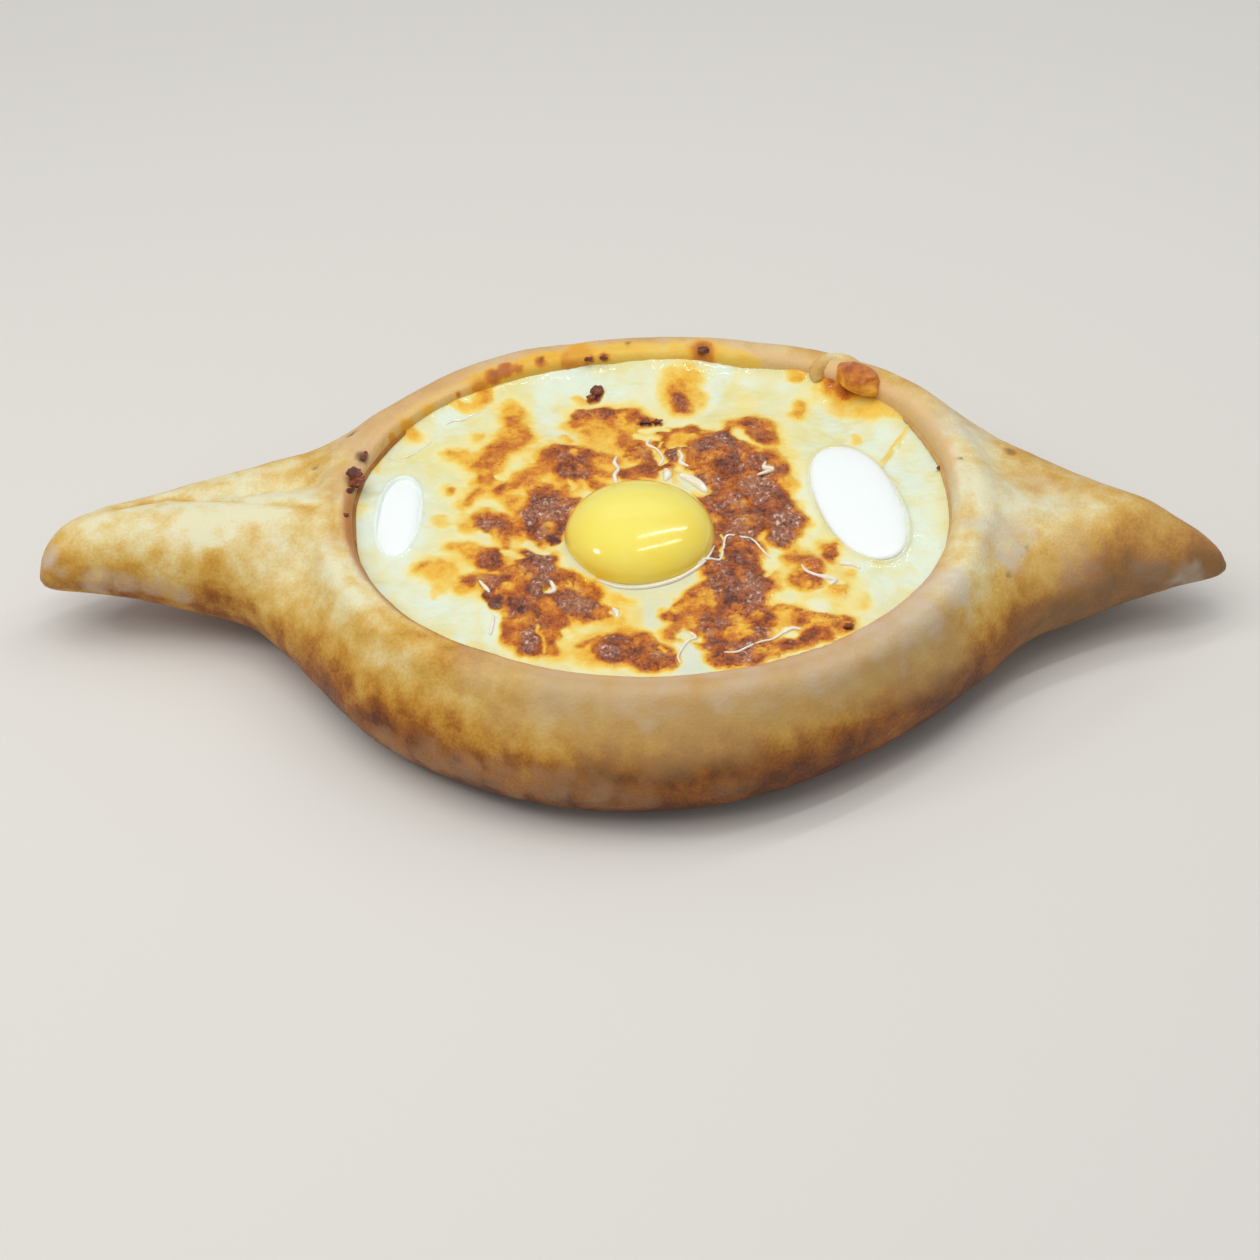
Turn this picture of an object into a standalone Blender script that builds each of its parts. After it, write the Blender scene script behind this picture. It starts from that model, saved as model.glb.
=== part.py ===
"""A boat-shaped cheese bread: dough crust, molten cheese, raw egg yolk, soft white pats. Metres, +Z up."""

import math

import bmesh
import bpy
import numpy as np

# Opening: the inner edge of the rolled rim, seen from above.
OPENING_CENTRE = (0.0061, 0.0026)
OPENING_HALF_LENGTH = 0.0756
OPENING_FRONT_HALF = 0.0658
OPENING_BACK_HALF = 0.0638
OPENING_FRONT_POWER = 2.1
OPENING_BACK_POWER = {"left": 2.15, "right": 2.45}
STATIONS = 72

# Wall: a fat roll at the belly that narrows to the rim.
WALL_THICKNESS = 0.0194
WALL_THICKER_AT_FRONT = 0.0010
BELLY_RADIUS = 0.0172
BELLY_HEIGHT = 0.0165
RIM_RADIUS = 0.0052
RIM_THICKER_AT_FRONT = 0.0008
RIM_TOP = 0.0375
CAVITY_FLOOR = 0.0090
SLAB_TOP = 0.0250
SLAB_REACH = 0.002
BASE_ROUNDING = 0.003

# Waves of the rim's height round the opening: how many, where they start in degrees, height in metres.
RIM_WAVES = ((2, 34, 0.0009), (3, -27, 0.00045))

# Places where hand shaping left the wall uneven: direction and width in degrees, change in metres.
WALL_CHANGES = ((-48, 26, -0.0042), (140, 28, -0.0020), (-135, 22, -0.0012))
RIM_CHANGES = ((142, 28, -0.0020), (85, 30, 0.0010))
BELLY_LIFTS = ((-42, 24, 0.0014),)

# Left horn: a blunt roll in front of a flat tail of the back wall, with a fold between them.
LEFT_TIP_X = -0.1505
LEFT_TIP_RADIUS = 0.0090
LEFT_TIP_LENGTH = 0.0056
LEFT_TIP_RAISED = 0.55
LEFT_TAPER = 0.140
LEFT_TAPER_LENGTH = 0.066
LEFT_LIFT = 0.0132
LEFT_LIFT_LENGTH = 0.045
LEFT_MIDDLE = 0.0035
LEFT_TIP_FORWARD = 0.0050
LEFT_TIP_FORWARD_LENGTH = 0.007
LEFT_BEND = 0.06
LEFT_BEND_START = 0.025
LEFT_END_X = -0.060
LEFT_SHOULDER = {"from": (-0.072, -0.025, 0.016), "to": (-0.094, -0.001, 0.018), "radii": (0.0130, 0.0120)}
LEFT_TAIL = {"from": (-0.062, 0.034, 0.017), "to": (-0.131, 0.0098, 0.0236), "radii": (0.0155, 0.0072)}
FOLD_ROUNDING = 0.0030
SHOULDER_ROUNDING = 0.005
JOIN_ROUNDING = 0.008

# Right horn: a pointed cone with broad shoulders.
RIGHT_TIP_X = 0.1512
RIGHT_TIP_RADIUS = 0.0060
RIGHT_TIP_LENGTH = 0.0085
RIGHT_TIP_RAISED = 1.05
RIGHT_TAPER_UP = 0.258
RIGHT_TAPER_SIDE = 0.290
RIGHT_TAPER_LENGTH = 0.060
RIGHT_LIFT = 0.0118
RIGHT_LIFT_LENGTH = 0.030
RIGHT_MOST_UP = 0.0175
RIGHT_MIDDLE = -0.0025
RIGHT_TIP_FORWARD = 0.0062
RIGHT_TIP_FORWARD_LENGTH = 0.008
RIGHT_END_X = 0.075
BACK_SHOULDER = {"from": (0.073, 0.038, 0.0175), "to": (0.127, 0.003, 0.0215), "radii": (0.0163, 0.0090)}
FRONT_SHOULDER = {"from": (0.080, -0.025, 0.0165), "to": (0.118, -0.006, 0.0205), "radii": (0.0135, 0.0090)}

# Filling: molten cheese up to a little below the rim.
CHEESE_LEVEL = 0.0305
CHEESE_WAVE = 0.0007
BROAD_SWELL = {"x": (95, 1.3), "y": (110, -0.4)}
CROSS_SWELL = {"x": 170, "y": -140, "start": 2.0, "share": 0.6}
CHEESE_RISE_AT_WALL = 0.0011
CHEESE_MORE_AT_BACK = 0.0016
CHEESE_RISE_WIDTH = 0.0040
CHEESE_RINGS = 10
RING_CROWDING = 0.8
FAR_FROM_WALL = -0.05
GAP = 0.0003

# Yolk: a low dome sitting in a dip of the cheese.
YOLK_CENTRE = (0.00275, -0.0072)
YOLK_RADIUS = (0.0185, 0.0186)
YOLK_WAIST = 0.0315
YOLK_RISE = 0.0099
YOLK_DEPTH = 0.0045

# White pats: soft flat ovals lying half sunk in the cheese.
RIGHT_PAT = {"centre": (0.0586, 0.0048), "half": (0.0105, 0.0238), "turn": 12.0, "z": (0.0288, 0.0332)}
LEFT_PAT = {"centre": (-0.0582, 0.0040), "half": (0.0054, 0.0163), "turn": -6.0, "z": (0.0285, 0.0319)}
PAT_EDGE_POWER = 2.6
PAT_OUTLINE_POWER = 0.9
PAT_EDGE_SLOPE = 1.4

# Browned cheese that has bubbled over the rim at the back right.
BLOB_CENTRE = (0.0620, 0.0518, 0.0362)
BLOB_HALF = (0.0072, 0.0046, 0.0036)
BLOB_TURN = -48.0
BLOB_LUMPS = {"round": (3, 0.07, 1.0), "slanting": (5, 0.05, 4)}

# Colour and roughness of each finish.
DOUGH = ((0.60, 0.36, 0.15), 0.55)
CHEESE = ((0.84, 0.74, 0.46), 0.35)
YOLK = ((0.93, 0.58, 0.03), 0.12)
WHITE = ((0.90, 0.92, 0.88), 0.25)
BROWNED = ((0.42, 0.15, 0.04), 0.45)
TOOL = ((0.5, 0.5, 0.5), 0.5)

# Meshing.
LEAST_RADIUS = 0.00001
GRID_STEP = 0.0022
GRID_HALF_SIZE = (0.156, 0.092)
GRID_TOP = 0.045
GRID_CELLS_BELOW = 1.5
CRUST_TRIANGLES = 5200
BASE_REACH = 0.0002
CUTTER_TOP = 0.06
HALF_TURN = math.pi


def opening_bow(right, back):
    """How full the opening's curve is, and its half width, where the signs of right and back say."""
    back_power = np.where(right < 0, OPENING_BACK_POWER["left"], OPENING_BACK_POWER["right"])
    power = np.where(back < 0, OPENING_FRONT_POWER, back_power)
    half = np.where(back < 0, OPENING_FRONT_HALF, OPENING_BACK_HALF)
    return power, half


def opening_point(turn):
    """Plan point of the rim's inner edge at an angle about the opening's centre."""
    c, s = np.cos(turn), np.sin(turn)
    power, half = opening_bow(c, s)
    x = OPENING_CENTRE[0] + OPENING_HALF_LENGTH * np.sign(c) * np.abs(c) ** (2 / power)
    y = OPENING_CENTRE[1] + half * np.sign(s) * np.abs(s) ** (2 / power)
    return x, y


def plan_distance(x, y, samples=720):
    """Signed distance outwards from the rim's inner edge, and the direction of the nearest point."""
    turn = np.linspace(0, 2 * HALF_TURN, samples, endpoint=False)
    ex, ey = opening_point(turn)
    direction = np.arctan2(ey - OPENING_CENTRE[1], ex - OPENING_CENTRE[0])
    near = np.empty(x.shape)
    angle = np.empty(x.shape)
    for row in range(x.shape[0]):
        gap = np.hypot(x[row][:, None] - ex, y[row][:, None] - ey)
        best = gap.argmin(axis=1)
        near[row] = gap[np.arange(len(best)), best]
        angle[row] = direction[best]
    across = x - OPENING_CENTRE[0]
    back = y - OPENING_CENTRE[1]
    power, half = opening_bow(across, back)
    inside = (np.abs(across) / OPENING_HALF_LENGTH) ** power + (np.abs(back) / half) ** power < 1
    return np.where(inside, -near, near), angle


def smooth_min(a, b, k):
    h = np.maximum(k - np.abs(a - b), 0) / k
    return np.minimum(a, b) - h * h * k / 4


def smooth_max(a, b, k):
    return -smooth_min(-a, -b, k)


def round_cone(across, along, length, ra, rb):
    """Distance from a cone with ball ends: radius ra at along 0, rb at along length."""
    lean = (ra - rb) / length
    level = np.sqrt(1 - lean * lean)
    where = level * along - lean * across
    side = level * across + lean * along - ra
    start = np.hypot(across, along) - ra
    end = np.hypot(across, along - length) - rb
    return np.where(where < 0, start, np.where(where > level * length, end, side))


def limb(x, y, z, form):
    """A straight dough limb whose radius changes evenly from one end to the other."""
    a, (ra, rb) = form["from"], form["radii"]
    axis = np.subtract(form["to"], a)
    length = float(np.linalg.norm(axis))
    along = ((x - a[0]) * axis[0] + (y - a[1]) * axis[1] + (z - a[2]) * axis[2]) / length
    square = (x - a[0]) ** 2 + (y - a[1]) ** 2 + (z - a[2]) ** 2
    return round_cone(np.sqrt(np.maximum(square - along**2, 0)), along, length, ra, rb)


def horn(u, y, z, side, up, centre_y, lift):
    """A horn along X: u is the distance in from its tip, side and up are its half width and height."""
    far = np.hypot((y - centre_y) / side, (z - lift - up) / up)
    return np.where(u > 0, (far - 1) * np.minimum(side, up), far * LEAST_RADIUS - u)


def unevenness(angle, changes):
    """Sum of soft swellings, each about its own direction."""
    total = 0 * angle
    for direction, width, change in changes:
        turn = (np.degrees(angle) - direction + 180) % 360 - 180
        total = total + change * np.exp(-((turn / width) ** 2))
    return total


def rim_top(angle):
    top = RIM_TOP + unevenness(angle, RIM_CHANGES)
    for waves, start, height in RIM_WAVES:
        top = top + height * np.cos(waves * angle + math.radians(start))
    return top


def wall(s, z, angle):
    """The rolled wall, in the plane across the rim."""
    thickness = WALL_THICKNESS - WALL_THICKER_AT_FRONT * np.sin(angle) + unevenness(angle, WALL_CHANGES)
    belly_s = thickness - BELLY_RADIUS
    belly_z = BELLY_HEIGHT + unevenness(angle, BELLY_LIFTS)
    rim_radius = RIM_RADIUS - RIM_THICKER_AT_FRONT * np.sin(angle)
    ds = rim_radius - belly_s
    dz = rim_top(angle) - rim_radius - belly_z
    length = np.hypot(ds, dz)
    along = ((s - belly_s) * ds + (z - belly_z) * dz) / length
    across = np.abs((s - belly_s) * dz - (z - belly_z) * ds) / length
    return round_cone(across, along, length, BELLY_RADIUS, rim_radius)


def rounded_tip(u, radius, length):
    """Radius of a horn at u in from its tip: it grows fast from a point to the full radius."""
    return radius * np.sqrt(1 - np.exp(-u / length)) + LEAST_RADIUS


def left_horn(x, y, z):
    u = np.maximum(x - LEFT_TIP_X, 0)
    tip = rounded_tip(u, LEFT_TIP_RADIUS, LEFT_TIP_LENGTH)
    radius = tip + LEFT_TAPER * np.minimum(u, LEFT_TAPER_LENGTH)
    forward = LEFT_TIP_FORWARD * np.exp(-u / LEFT_TIP_FORWARD_LENGTH)
    centre_y = LEFT_MIDDLE - forward - LEFT_BEND * np.maximum(u - LEFT_BEND_START, 0)
    lift = LEFT_LIFT * np.exp(-((u / LEFT_LIFT_LENGTH) ** 2)) + LEFT_TIP_RAISED * (LEFT_TIP_RADIUS - tip)
    roll = horn(x - LEFT_TIP_X, y, z, radius, radius, centre_y, lift)
    return smooth_min(np.maximum(roll, x - LEFT_END_X), limb(x, y, z, LEFT_SHOULDER), SHOULDER_ROUNDING)


def right_horn(x, y, z):
    u = np.maximum(RIGHT_TIP_X - x, 0)
    tip = rounded_tip(u, RIGHT_TIP_RADIUS, RIGHT_TIP_LENGTH)
    up = smooth_min(tip + RIGHT_TAPER_UP * u, RIGHT_MOST_UP, SHOULDER_ROUNDING)
    side = tip + RIGHT_TAPER_SIDE * np.minimum(u, RIGHT_TAPER_LENGTH)
    centre_y = RIGHT_MIDDLE - RIGHT_TIP_FORWARD * np.exp(-u / RIGHT_TIP_FORWARD_LENGTH)
    lift = RIGHT_LIFT * np.exp(-((u / RIGHT_LIFT_LENGTH) ** 2)) + RIGHT_TIP_RAISED * (RIGHT_TIP_RADIUS - tip)
    cone = np.maximum(horn(RIGHT_TIP_X - x, y, z, side, up, centre_y, lift), RIGHT_END_X - x)
    back, front = limb(x, y, z, BACK_SHOULDER), limb(x, y, z, FRONT_SHOULDER)
    return smooth_min(cone, smooth_min(back, front, SHOULDER_ROUNDING), JOIN_ROUNDING)


def crust_field(x, y, z, s, angle):
    """Below zero inside the dough, before the cavity is cut."""
    body = np.minimum(wall(s, z, angle), np.maximum(z - SLAB_TOP, s - SLAB_REACH))
    body = smooth_min(body, limb(x, y, z, LEFT_TAIL), JOIN_ROUNDING)
    body = smooth_min(body, left_horn(x, y, z), FOLD_ROUNDING)
    body = smooth_min(body, right_horn(x, y, z), JOIN_ROUNDING)
    return smooth_max(body, -z, BASE_ROUNDING)


def surface_net(field, origin, step):
    """Corners and quads of the surface where the field crosses zero."""
    cells = tuple(n - 1 for n in field.shape)
    total = np.zeros(cells + (3,))
    count = np.zeros(cells)
    crossings = []
    for axis in range(3):
        low, high = [slice(None)] * 3, [slice(None)] * 3
        low[axis], high[axis] = slice(0, -1), slice(1, None)
        start, end = field[tuple(low)], field[tuple(high)]
        cross = (start < 0) != (end < 0)
        at = np.argwhere(cross)
        point = at.astype(float)
        point[:, axis] += start[cross] / (start[cross] - end[cross])
        one, two = (axis + 1) % 3, (axis + 2) % 3
        around = []
        for back_one, back_two in ((1, 1), (0, 1), (0, 0), (1, 0)):
            cell = at.copy()
            cell[:, one] -= back_one
            cell[:, two] -= back_two
            around.append(cell)
            np.add.at(total, tuple(cell.T), point)
            np.add.at(count, tuple(cell.T), 1)
        crossings.append((around, start[cross] < 0))
    used = count > 0
    number = np.full(cells, -1)
    number[used] = np.arange(used.sum())
    corners = total[used] / count[used][:, None] * step + np.array(origin)
    quads = []
    for around, outwards in crossings:
        quad = np.stack([number[tuple(cell.T)] for cell in around], axis=1)
        quad[~outwards] = quad[~outwards][:, ::-1]
        quads.append(quad)
    return corners, np.concatenate(quads)


def crust_surface(step, shift):
    xs, ys = (np.arange(-half, half + step, step) for half in GRID_HALF_SIZE)
    zs = np.arange(-GRID_CELLS_BELOW * step, GRID_TOP, step) + shift
    px, py = np.meshgrid(xs, ys, indexing="ij")
    s, angle = plan_distance(px, py)
    field = crust_field(px[:, :, None], py[:, :, None], zs[None, None, :], s[:, :, None], angle[:, :, None])
    return surface_net(field, (xs[0], ys[0], zs[0]), step)


def closed(quads):
    """True when every edge has exactly two faces."""
    ends = np.sort(np.concatenate([quads[:, [i, (i + 1) % 4]] for i in range(4)]), axis=1)
    return bool((np.unique(ends, axis=0, return_counts=True)[1] == 2).all())


def closed_crust(step, tries=12):
    """Slides the grid a little in height until no thin ridge falls between its layers."""
    for attempt in range(tries):
        corners, quads = crust_surface(step, step * attempt / tries)
        if closed(quads):
            break
    return corners, quads


def wall_line(inset, samples=4001):
    """Evenly spaced plan points along the rim's inner edge, moved inwards by inset."""
    turn = np.linspace(0, 2 * HALF_TURN, samples)
    x, y = opening_point(turn)
    along = np.concatenate([[0], np.cumsum(np.hypot(np.diff(x), np.diff(y)))])
    want = np.linspace(0, along[-1], STATIONS, endpoint=False)
    line = np.stack([np.interp(want, along, x), np.interp(want, along, y)], axis=1)
    tangent = np.roll(line, -1, axis=0) - np.roll(line, 1, axis=0)
    normal = np.stack([-tangent[:, 1], tangent[:, 0]], axis=1)
    return line + inset * normal / np.linalg.norm(normal, axis=1)[:, None]


def cheese_top(x, y, s):
    """Height of the cheese: a gently uneven pool that creeps up the wall, most at the back."""
    (waves_x, start_x), (waves_y, start_y) = BROAD_SWELL["x"], BROAD_SWELL["y"]
    broad = np.sin(waves_x * x + start_x) * np.cos(waves_y * y + start_y)
    cross = np.sin(CROSS_SWELL["x"] * x + CROSS_SWELL["y"] * y + CROSS_SWELL["start"])
    back = np.clip((y - OPENING_CENTRE[1]) / OPENING_BACK_HALF, 0, 1)
    rise = CHEESE_RISE_AT_WALL + CHEESE_MORE_AT_BACK * back
    level = CHEESE_LEVEL + CHEESE_WAVE * (broad + CROSS_SWELL["share"] * cross)
    return level + rise * np.exp(s / CHEESE_RISE_WIDTH)


def add_object(name, corners, faces, finish):
    color, roughness = finish
    mesh = bpy.data.meshes.new(name)
    mesh.from_pydata([tuple(c) for c in corners], [], [tuple(int(i) for i in f) for f in faces])
    bm = bmesh.new()
    bm.from_mesh(mesh)
    bmesh.ops.recalc_face_normals(bm, faces=bm.faces)
    if bm.calc_volume(signed=True) < 0:
        bmesh.ops.reverse_faces(bm, faces=bm.faces)
    bm.to_mesh(mesh)
    bm.free()
    mesh.polygons.foreach_set("use_smooth", [True] * len(mesh.polygons))
    material = bpy.data.materials.new(name)
    material.use_nodes = True
    shader = material.node_tree.nodes["Principled BSDF"]
    shader.inputs["Base Color"].default_value = (*color, 1.0)
    shader.inputs["Roughness"].default_value = roughness
    shader.inputs["Metallic"].default_value = 0.0
    material.diffuse_color = (*color, 1.0)
    mesh.materials.append(material)
    obj = bpy.data.objects.new(name, mesh)
    bpy.context.scene.collection.objects.link(obj)
    return obj


def stack(loops, bottom, top):
    """Faces of a closed solid from equal loops, closed by a fan at each end."""
    n = len(loops[0])
    corners = np.concatenate([np.concatenate(loops), [bottom], [top]])
    faces = []
    for level in range(len(loops) - 1):
        for i in range(n):
            j = (i + 1) % n
            faces.append((level * n + i, level * n + j, level * n + n + j, level * n + n + i))
    last = (len(loops) - 1) * n
    for i in range(n):
        j = (i + 1) % n
        faces.append((j, i, len(corners) - 2))
        faces.append((last + i, last + j, len(corners) - 1))
    return corners, faces


def prism(line, low, high):
    flat = [np.column_stack([line, np.full(len(line), z)]) for z in (low, high)]
    middle = line.mean(axis=0)
    return stack(flat, [*middle, low], [*middle, high])


def filling_solid():
    edge = wall_line(GAP)
    middle = np.array(OPENING_CENTRE)
    loops = [np.column_stack([edge, np.full(len(edge), CAVITY_FLOOR + GAP)])]
    for ring in range(CHEESE_RINGS):
        share = (1 - ring / CHEESE_RINGS) ** RING_CROWDING
        plan = middle + (edge - middle) * share
        s, _ = plan_distance(plan[:, :1], plan[:, 1:])
        height = cheese_top(plan[:, 0], plan[:, 1], s[:, 0])
        loops.append(np.column_stack([plan, height]))
    centre_height = float(cheese_top(middle[0], middle[1], FAR_FROM_WALL))
    return stack(loops, [*middle, CAVITY_FLOOR + GAP], [*middle, centre_height])


def yolk_solid(extra, around=40, levels=12):
    loops = []
    for level in range(1, levels):
        tilt = HALF_TURN * (level / levels - 0.5)
        turn = np.linspace(0, 2 * HALF_TURN, around, endpoint=False)
        x = YOLK_CENTRE[0] + (YOLK_RADIUS[0] + extra) * math.cos(tilt) * np.cos(turn)
        y = YOLK_CENTRE[1] + (YOLK_RADIUS[1] + extra) * math.cos(tilt) * np.sin(turn)
        half = YOLK_RISE if tilt > 0 else YOLK_DEPTH
        z = np.full(around, YOLK_WAIST + (half + extra) * math.sin(tilt))
        loops.append(np.column_stack([x, y, z]))
    low = [*YOLK_CENTRE, YOLK_WAIST - YOLK_DEPTH - extra]
    return stack(loops, low, [*YOLK_CENTRE, YOLK_WAIST + YOLK_RISE + extra])


def pat_solid(pat, extra, around=32, levels=8):
    low, high = pat["z"]
    middle, half = (low + high) / 2, (high - low) / 2 + extra
    turn = math.radians(pat["turn"])
    loops = []
    for level in range(1, levels):
        tilt = HALF_TURN * (level / levels - 0.5)
        share = math.cos(tilt) ** (2 / PAT_EDGE_POWER)
        inset = half * (1 - share)
        t = np.linspace(0, 2 * HALF_TURN, around, endpoint=False)
        reach = [size + extra - PAT_EDGE_SLOPE * inset for size in pat["half"]]
        a = reach[0] * np.sign(np.cos(t)) * np.abs(np.cos(t)) ** PAT_OUTLINE_POWER
        b = reach[1] * np.sign(np.sin(t)) * np.abs(np.sin(t)) ** PAT_OUTLINE_POWER
        x = pat["centre"][0] + a * math.cos(turn) - b * math.sin(turn)
        y = pat["centre"][1] + a * math.sin(turn) + b * math.cos(turn)
        loops.append(np.column_stack([x, y, np.full(around, middle + half * math.sin(tilt))]))
    return stack(loops, [*pat["centre"], middle - half], [*pat["centre"], middle + half])


def blob_solid(around=22, levels=11):
    turn = math.radians(BLOB_TURN)
    waves, height, start = BLOB_LUMPS["round"]
    slant_waves, slant_height, slant = BLOB_LUMPS["slanting"]
    loops = []
    for level in range(1, levels):
        tilt = HALF_TURN * (level / levels - 0.5)
        t = np.linspace(0, 2 * HALF_TURN, around, endpoint=False)
        lump = 1 + height * np.sin(waves * t + start) * math.cos(tilt)
        lump = lump + slant_height * np.sin(slant_waves * t + slant * tilt)
        a = BLOB_HALF[0] * math.cos(tilt) * np.cos(t) * lump
        b = BLOB_HALF[1] * math.cos(tilt) * np.sin(t) * lump
        x = BLOB_CENTRE[0] + a * math.cos(turn) - b * math.sin(turn)
        y = BLOB_CENTRE[1] + a * math.sin(turn) + b * math.cos(turn)
        z = BLOB_CENTRE[2] + BLOB_HALF[2] * math.sin(tilt) * lump
        loops.append(np.column_stack([x, y, z]))
    x, y, z = BLOB_CENTRE
    return stack(loops, [x, y, z - BLOB_HALF[2]], [x, y, z + BLOB_HALF[2]])


def settle(obj):
    """Turns an object's modifiers into its own mesh."""
    graph = bpy.context.evaluated_depsgraph_get()
    mesh = bpy.data.meshes.new_from_object(obj.evaluated_get(graph), depsgraph=graph)
    obj.modifiers.clear()
    obj.data = mesh


def thin_out(obj, triangles):
    total = sum(len(p.vertices) - 2 for p in obj.data.polygons)
    modifier = obj.modifiers.new("thin", "DECIMATE")
    modifier.ratio = min(1.0, triangles / total)
    settle(obj)


def cut(obj, corners, faces):
    tool = add_object("cutter", corners, faces, TOOL)
    modifier = obj.modifiers.new("cut", "BOOLEAN")
    modifier.operation = "DIFFERENCE"
    modifier.solver = "EXACT"
    modifier.object = tool
    settle(obj)
    bpy.data.objects.remove(tool)


def level_base(obj, reach):
    """Brings corners within reach of the ground exactly onto it."""
    for vertex in obj.data.vertices:
        if abs(vertex.co.z) < reach:
            vertex.co.z = 0.0


def seat(obj, support):
    """Hollows obj out where support is, then lifts it clear by the gap."""
    modifier = obj.modifiers.new("seat", "BOOLEAN")
    modifier.operation = "DIFFERENCE"
    modifier.solver = "EXACT"
    modifier.object = support
    settle(obj)
    for vertex in obj.data.vertices:
        vertex.co.z += GAP


def centre_on(objects, guide):
    """Moves all objects so that the guide's outline is centred on the origin."""
    corners = np.array([vertex.co for vertex in guide.data.vertices])
    middle = (corners.min(axis=0) + corners.max(axis=0)) / 2
    for obj in objects:
        for vertex in obj.data.vertices:
            vertex.co.x -= middle[0]
            vertex.co.y -= middle[1]


def main():
    for old in list(bpy.data.objects):
        bpy.data.objects.remove(old)

    crust = add_object("crust", *closed_crust(GRID_STEP), DOUGH)
    level_base(crust, BASE_REACH)
    thin_out(crust, CRUST_TRIANGLES)
    level_base(crust, BASE_REACH)
    cut(crust, *prism(wall_line(0.0), CAVITY_FLOOR, CUTTER_TOP))

    filling = add_object("filling", *filling_solid(), CHEESE)
    cut(filling, *yolk_solid(GAP))
    cut(filling, *pat_solid(RIGHT_PAT, GAP))
    cut(filling, *pat_solid(LEFT_PAT, GAP))

    yolk = add_object("yolk", *yolk_solid(0.0), YOLK)
    right_pat = add_object("white_pat_right", *pat_solid(RIGHT_PAT, 0.0), WHITE)
    left_pat = add_object("white_pat_left", *pat_solid(LEFT_PAT, 0.0), WHITE)
    blob = add_object("rim_cheese", *blob_solid(), BROWNED)
    seat(blob, crust)

    centre_on((crust, filling, yolk, right_pat, left_pat, blob), crust)


main()
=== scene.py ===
# %% [markdown]
# # A boat-shaped cheese bread, dressed
# The solids of the bread are already made: dough crust, cheese filling, yolk, two white pats
# and one browned blob of cheese on the rim. This lesson dresses them. Each piece gets a finer
# skin of real mesh, because baked dough and blistered cheese are shapes first and colours
# second. The colours then follow the shapes. Lengths in tables are millimetres.

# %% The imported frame
import math

import bpy
import numpy as np
from mathutils import Matrix, Vector


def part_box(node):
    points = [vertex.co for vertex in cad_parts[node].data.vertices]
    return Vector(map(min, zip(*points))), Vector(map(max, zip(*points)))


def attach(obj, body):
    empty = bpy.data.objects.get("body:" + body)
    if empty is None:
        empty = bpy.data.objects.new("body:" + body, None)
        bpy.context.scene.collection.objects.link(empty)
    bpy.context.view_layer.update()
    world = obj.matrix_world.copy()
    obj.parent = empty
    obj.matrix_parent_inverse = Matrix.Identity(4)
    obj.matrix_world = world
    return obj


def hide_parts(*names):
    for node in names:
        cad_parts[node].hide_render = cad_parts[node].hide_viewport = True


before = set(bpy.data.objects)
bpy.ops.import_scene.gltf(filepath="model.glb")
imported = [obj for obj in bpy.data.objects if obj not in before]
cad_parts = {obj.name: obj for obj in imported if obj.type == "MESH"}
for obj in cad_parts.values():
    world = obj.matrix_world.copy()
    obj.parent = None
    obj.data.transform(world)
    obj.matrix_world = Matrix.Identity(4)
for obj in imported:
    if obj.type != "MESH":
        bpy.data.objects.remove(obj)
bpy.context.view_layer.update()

MM = 0.001
print("solids:", sorted(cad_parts))

# %% [markdown]
# ## The drawing frame
# The dough was drawn about a point of its own and then moved so that its outline is centred.
# The yolk's place is known in both frames, so the difference gives the move.

# %% From the drawing frame to the object's frame
YOLK_DRAWN_AT = (0.00275, -0.0072)
yolk_low, yolk_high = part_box("yolk")
yolk_middle = (yolk_low + yolk_high) / 2
DRAWN_SHIFT = np.array([YOLK_DRAWN_AT[0] - yolk_middle.x, YOLK_DRAWN_AT[1] - yolk_middle.y])
print("drawing frame lies", np.round(DRAWN_SHIFT / MM, 2), "mm away")

# %% [markdown]
# ## Camera
# The bread is seen on a table from about forty degrees above, through a moderately long lens.
# The camera leans by one and a half degrees. Aiming it at a point would leave that lean to
# chance, so it is placed with a matrix made from its own three axes.

# %% Camera
CAMERA_PLACE = (-0.00026, -0.54785, 0.460)
CAMERA_DOWN = math.radians(40.386)
CAMERA_LEAN = math.radians(-1.477)
CAMERA_LENS, SENSOR_WIDTH = 78.483, 36


def make_camera():
    """A camera whose own axes are worked out from its dip and its lean."""
    forward = Vector((0, math.cos(CAMERA_DOWN), -math.sin(CAMERA_DOWN)))
    level_right = Vector((1, 0, 0))
    level_up = level_right.cross(forward)
    right = level_right * math.cos(CAMERA_LEAN) + level_up * math.sin(CAMERA_LEAN)
    up = level_up * math.cos(CAMERA_LEAN) - level_right * math.sin(CAMERA_LEAN)
    camera = bpy.data.objects.new("camera", bpy.data.cameras.new("camera"))
    bpy.context.scene.collection.objects.link(camera)
    camera.data.lens = CAMERA_LENS
    camera.data.sensor_width = SENSOR_WIDTH
    camera.data.clip_start = 0.01
    axes = Matrix((right, up, -forward)).transposed()
    camera.matrix_world = Matrix.Translation(CAMERA_PLACE) @ axes.to_4x4()
    bpy.context.scene.camera = camera
    return camera


camera = make_camera()
print("camera at", [round(c, 3) for c in camera.location])

# %% [markdown]
# ## Studio
# A pale floor, an even sky and a large round soft light high above, a little to the front left.
# It leaves the foot of the crust in gentle shade, as on a kitchen table. Two thin ceiling
# tubes show in the wet yolk as two thin streaks, and a small lamp at the left as a spot. A
# wide, weak window behind the bread puts a sheen on the cheese. Colours are shown as they
# are, with no film curve.

# %% Floor, lights and sky
FLOOR_HALF_SIZE = 4
SKY_STRENGTH = 0.38
LIT_PLACE = (0, 0, 0.03)
TUBE_SIZE, WINDOW_SIZE = (0.56, 0.014), (0.60, 0.24)


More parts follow.
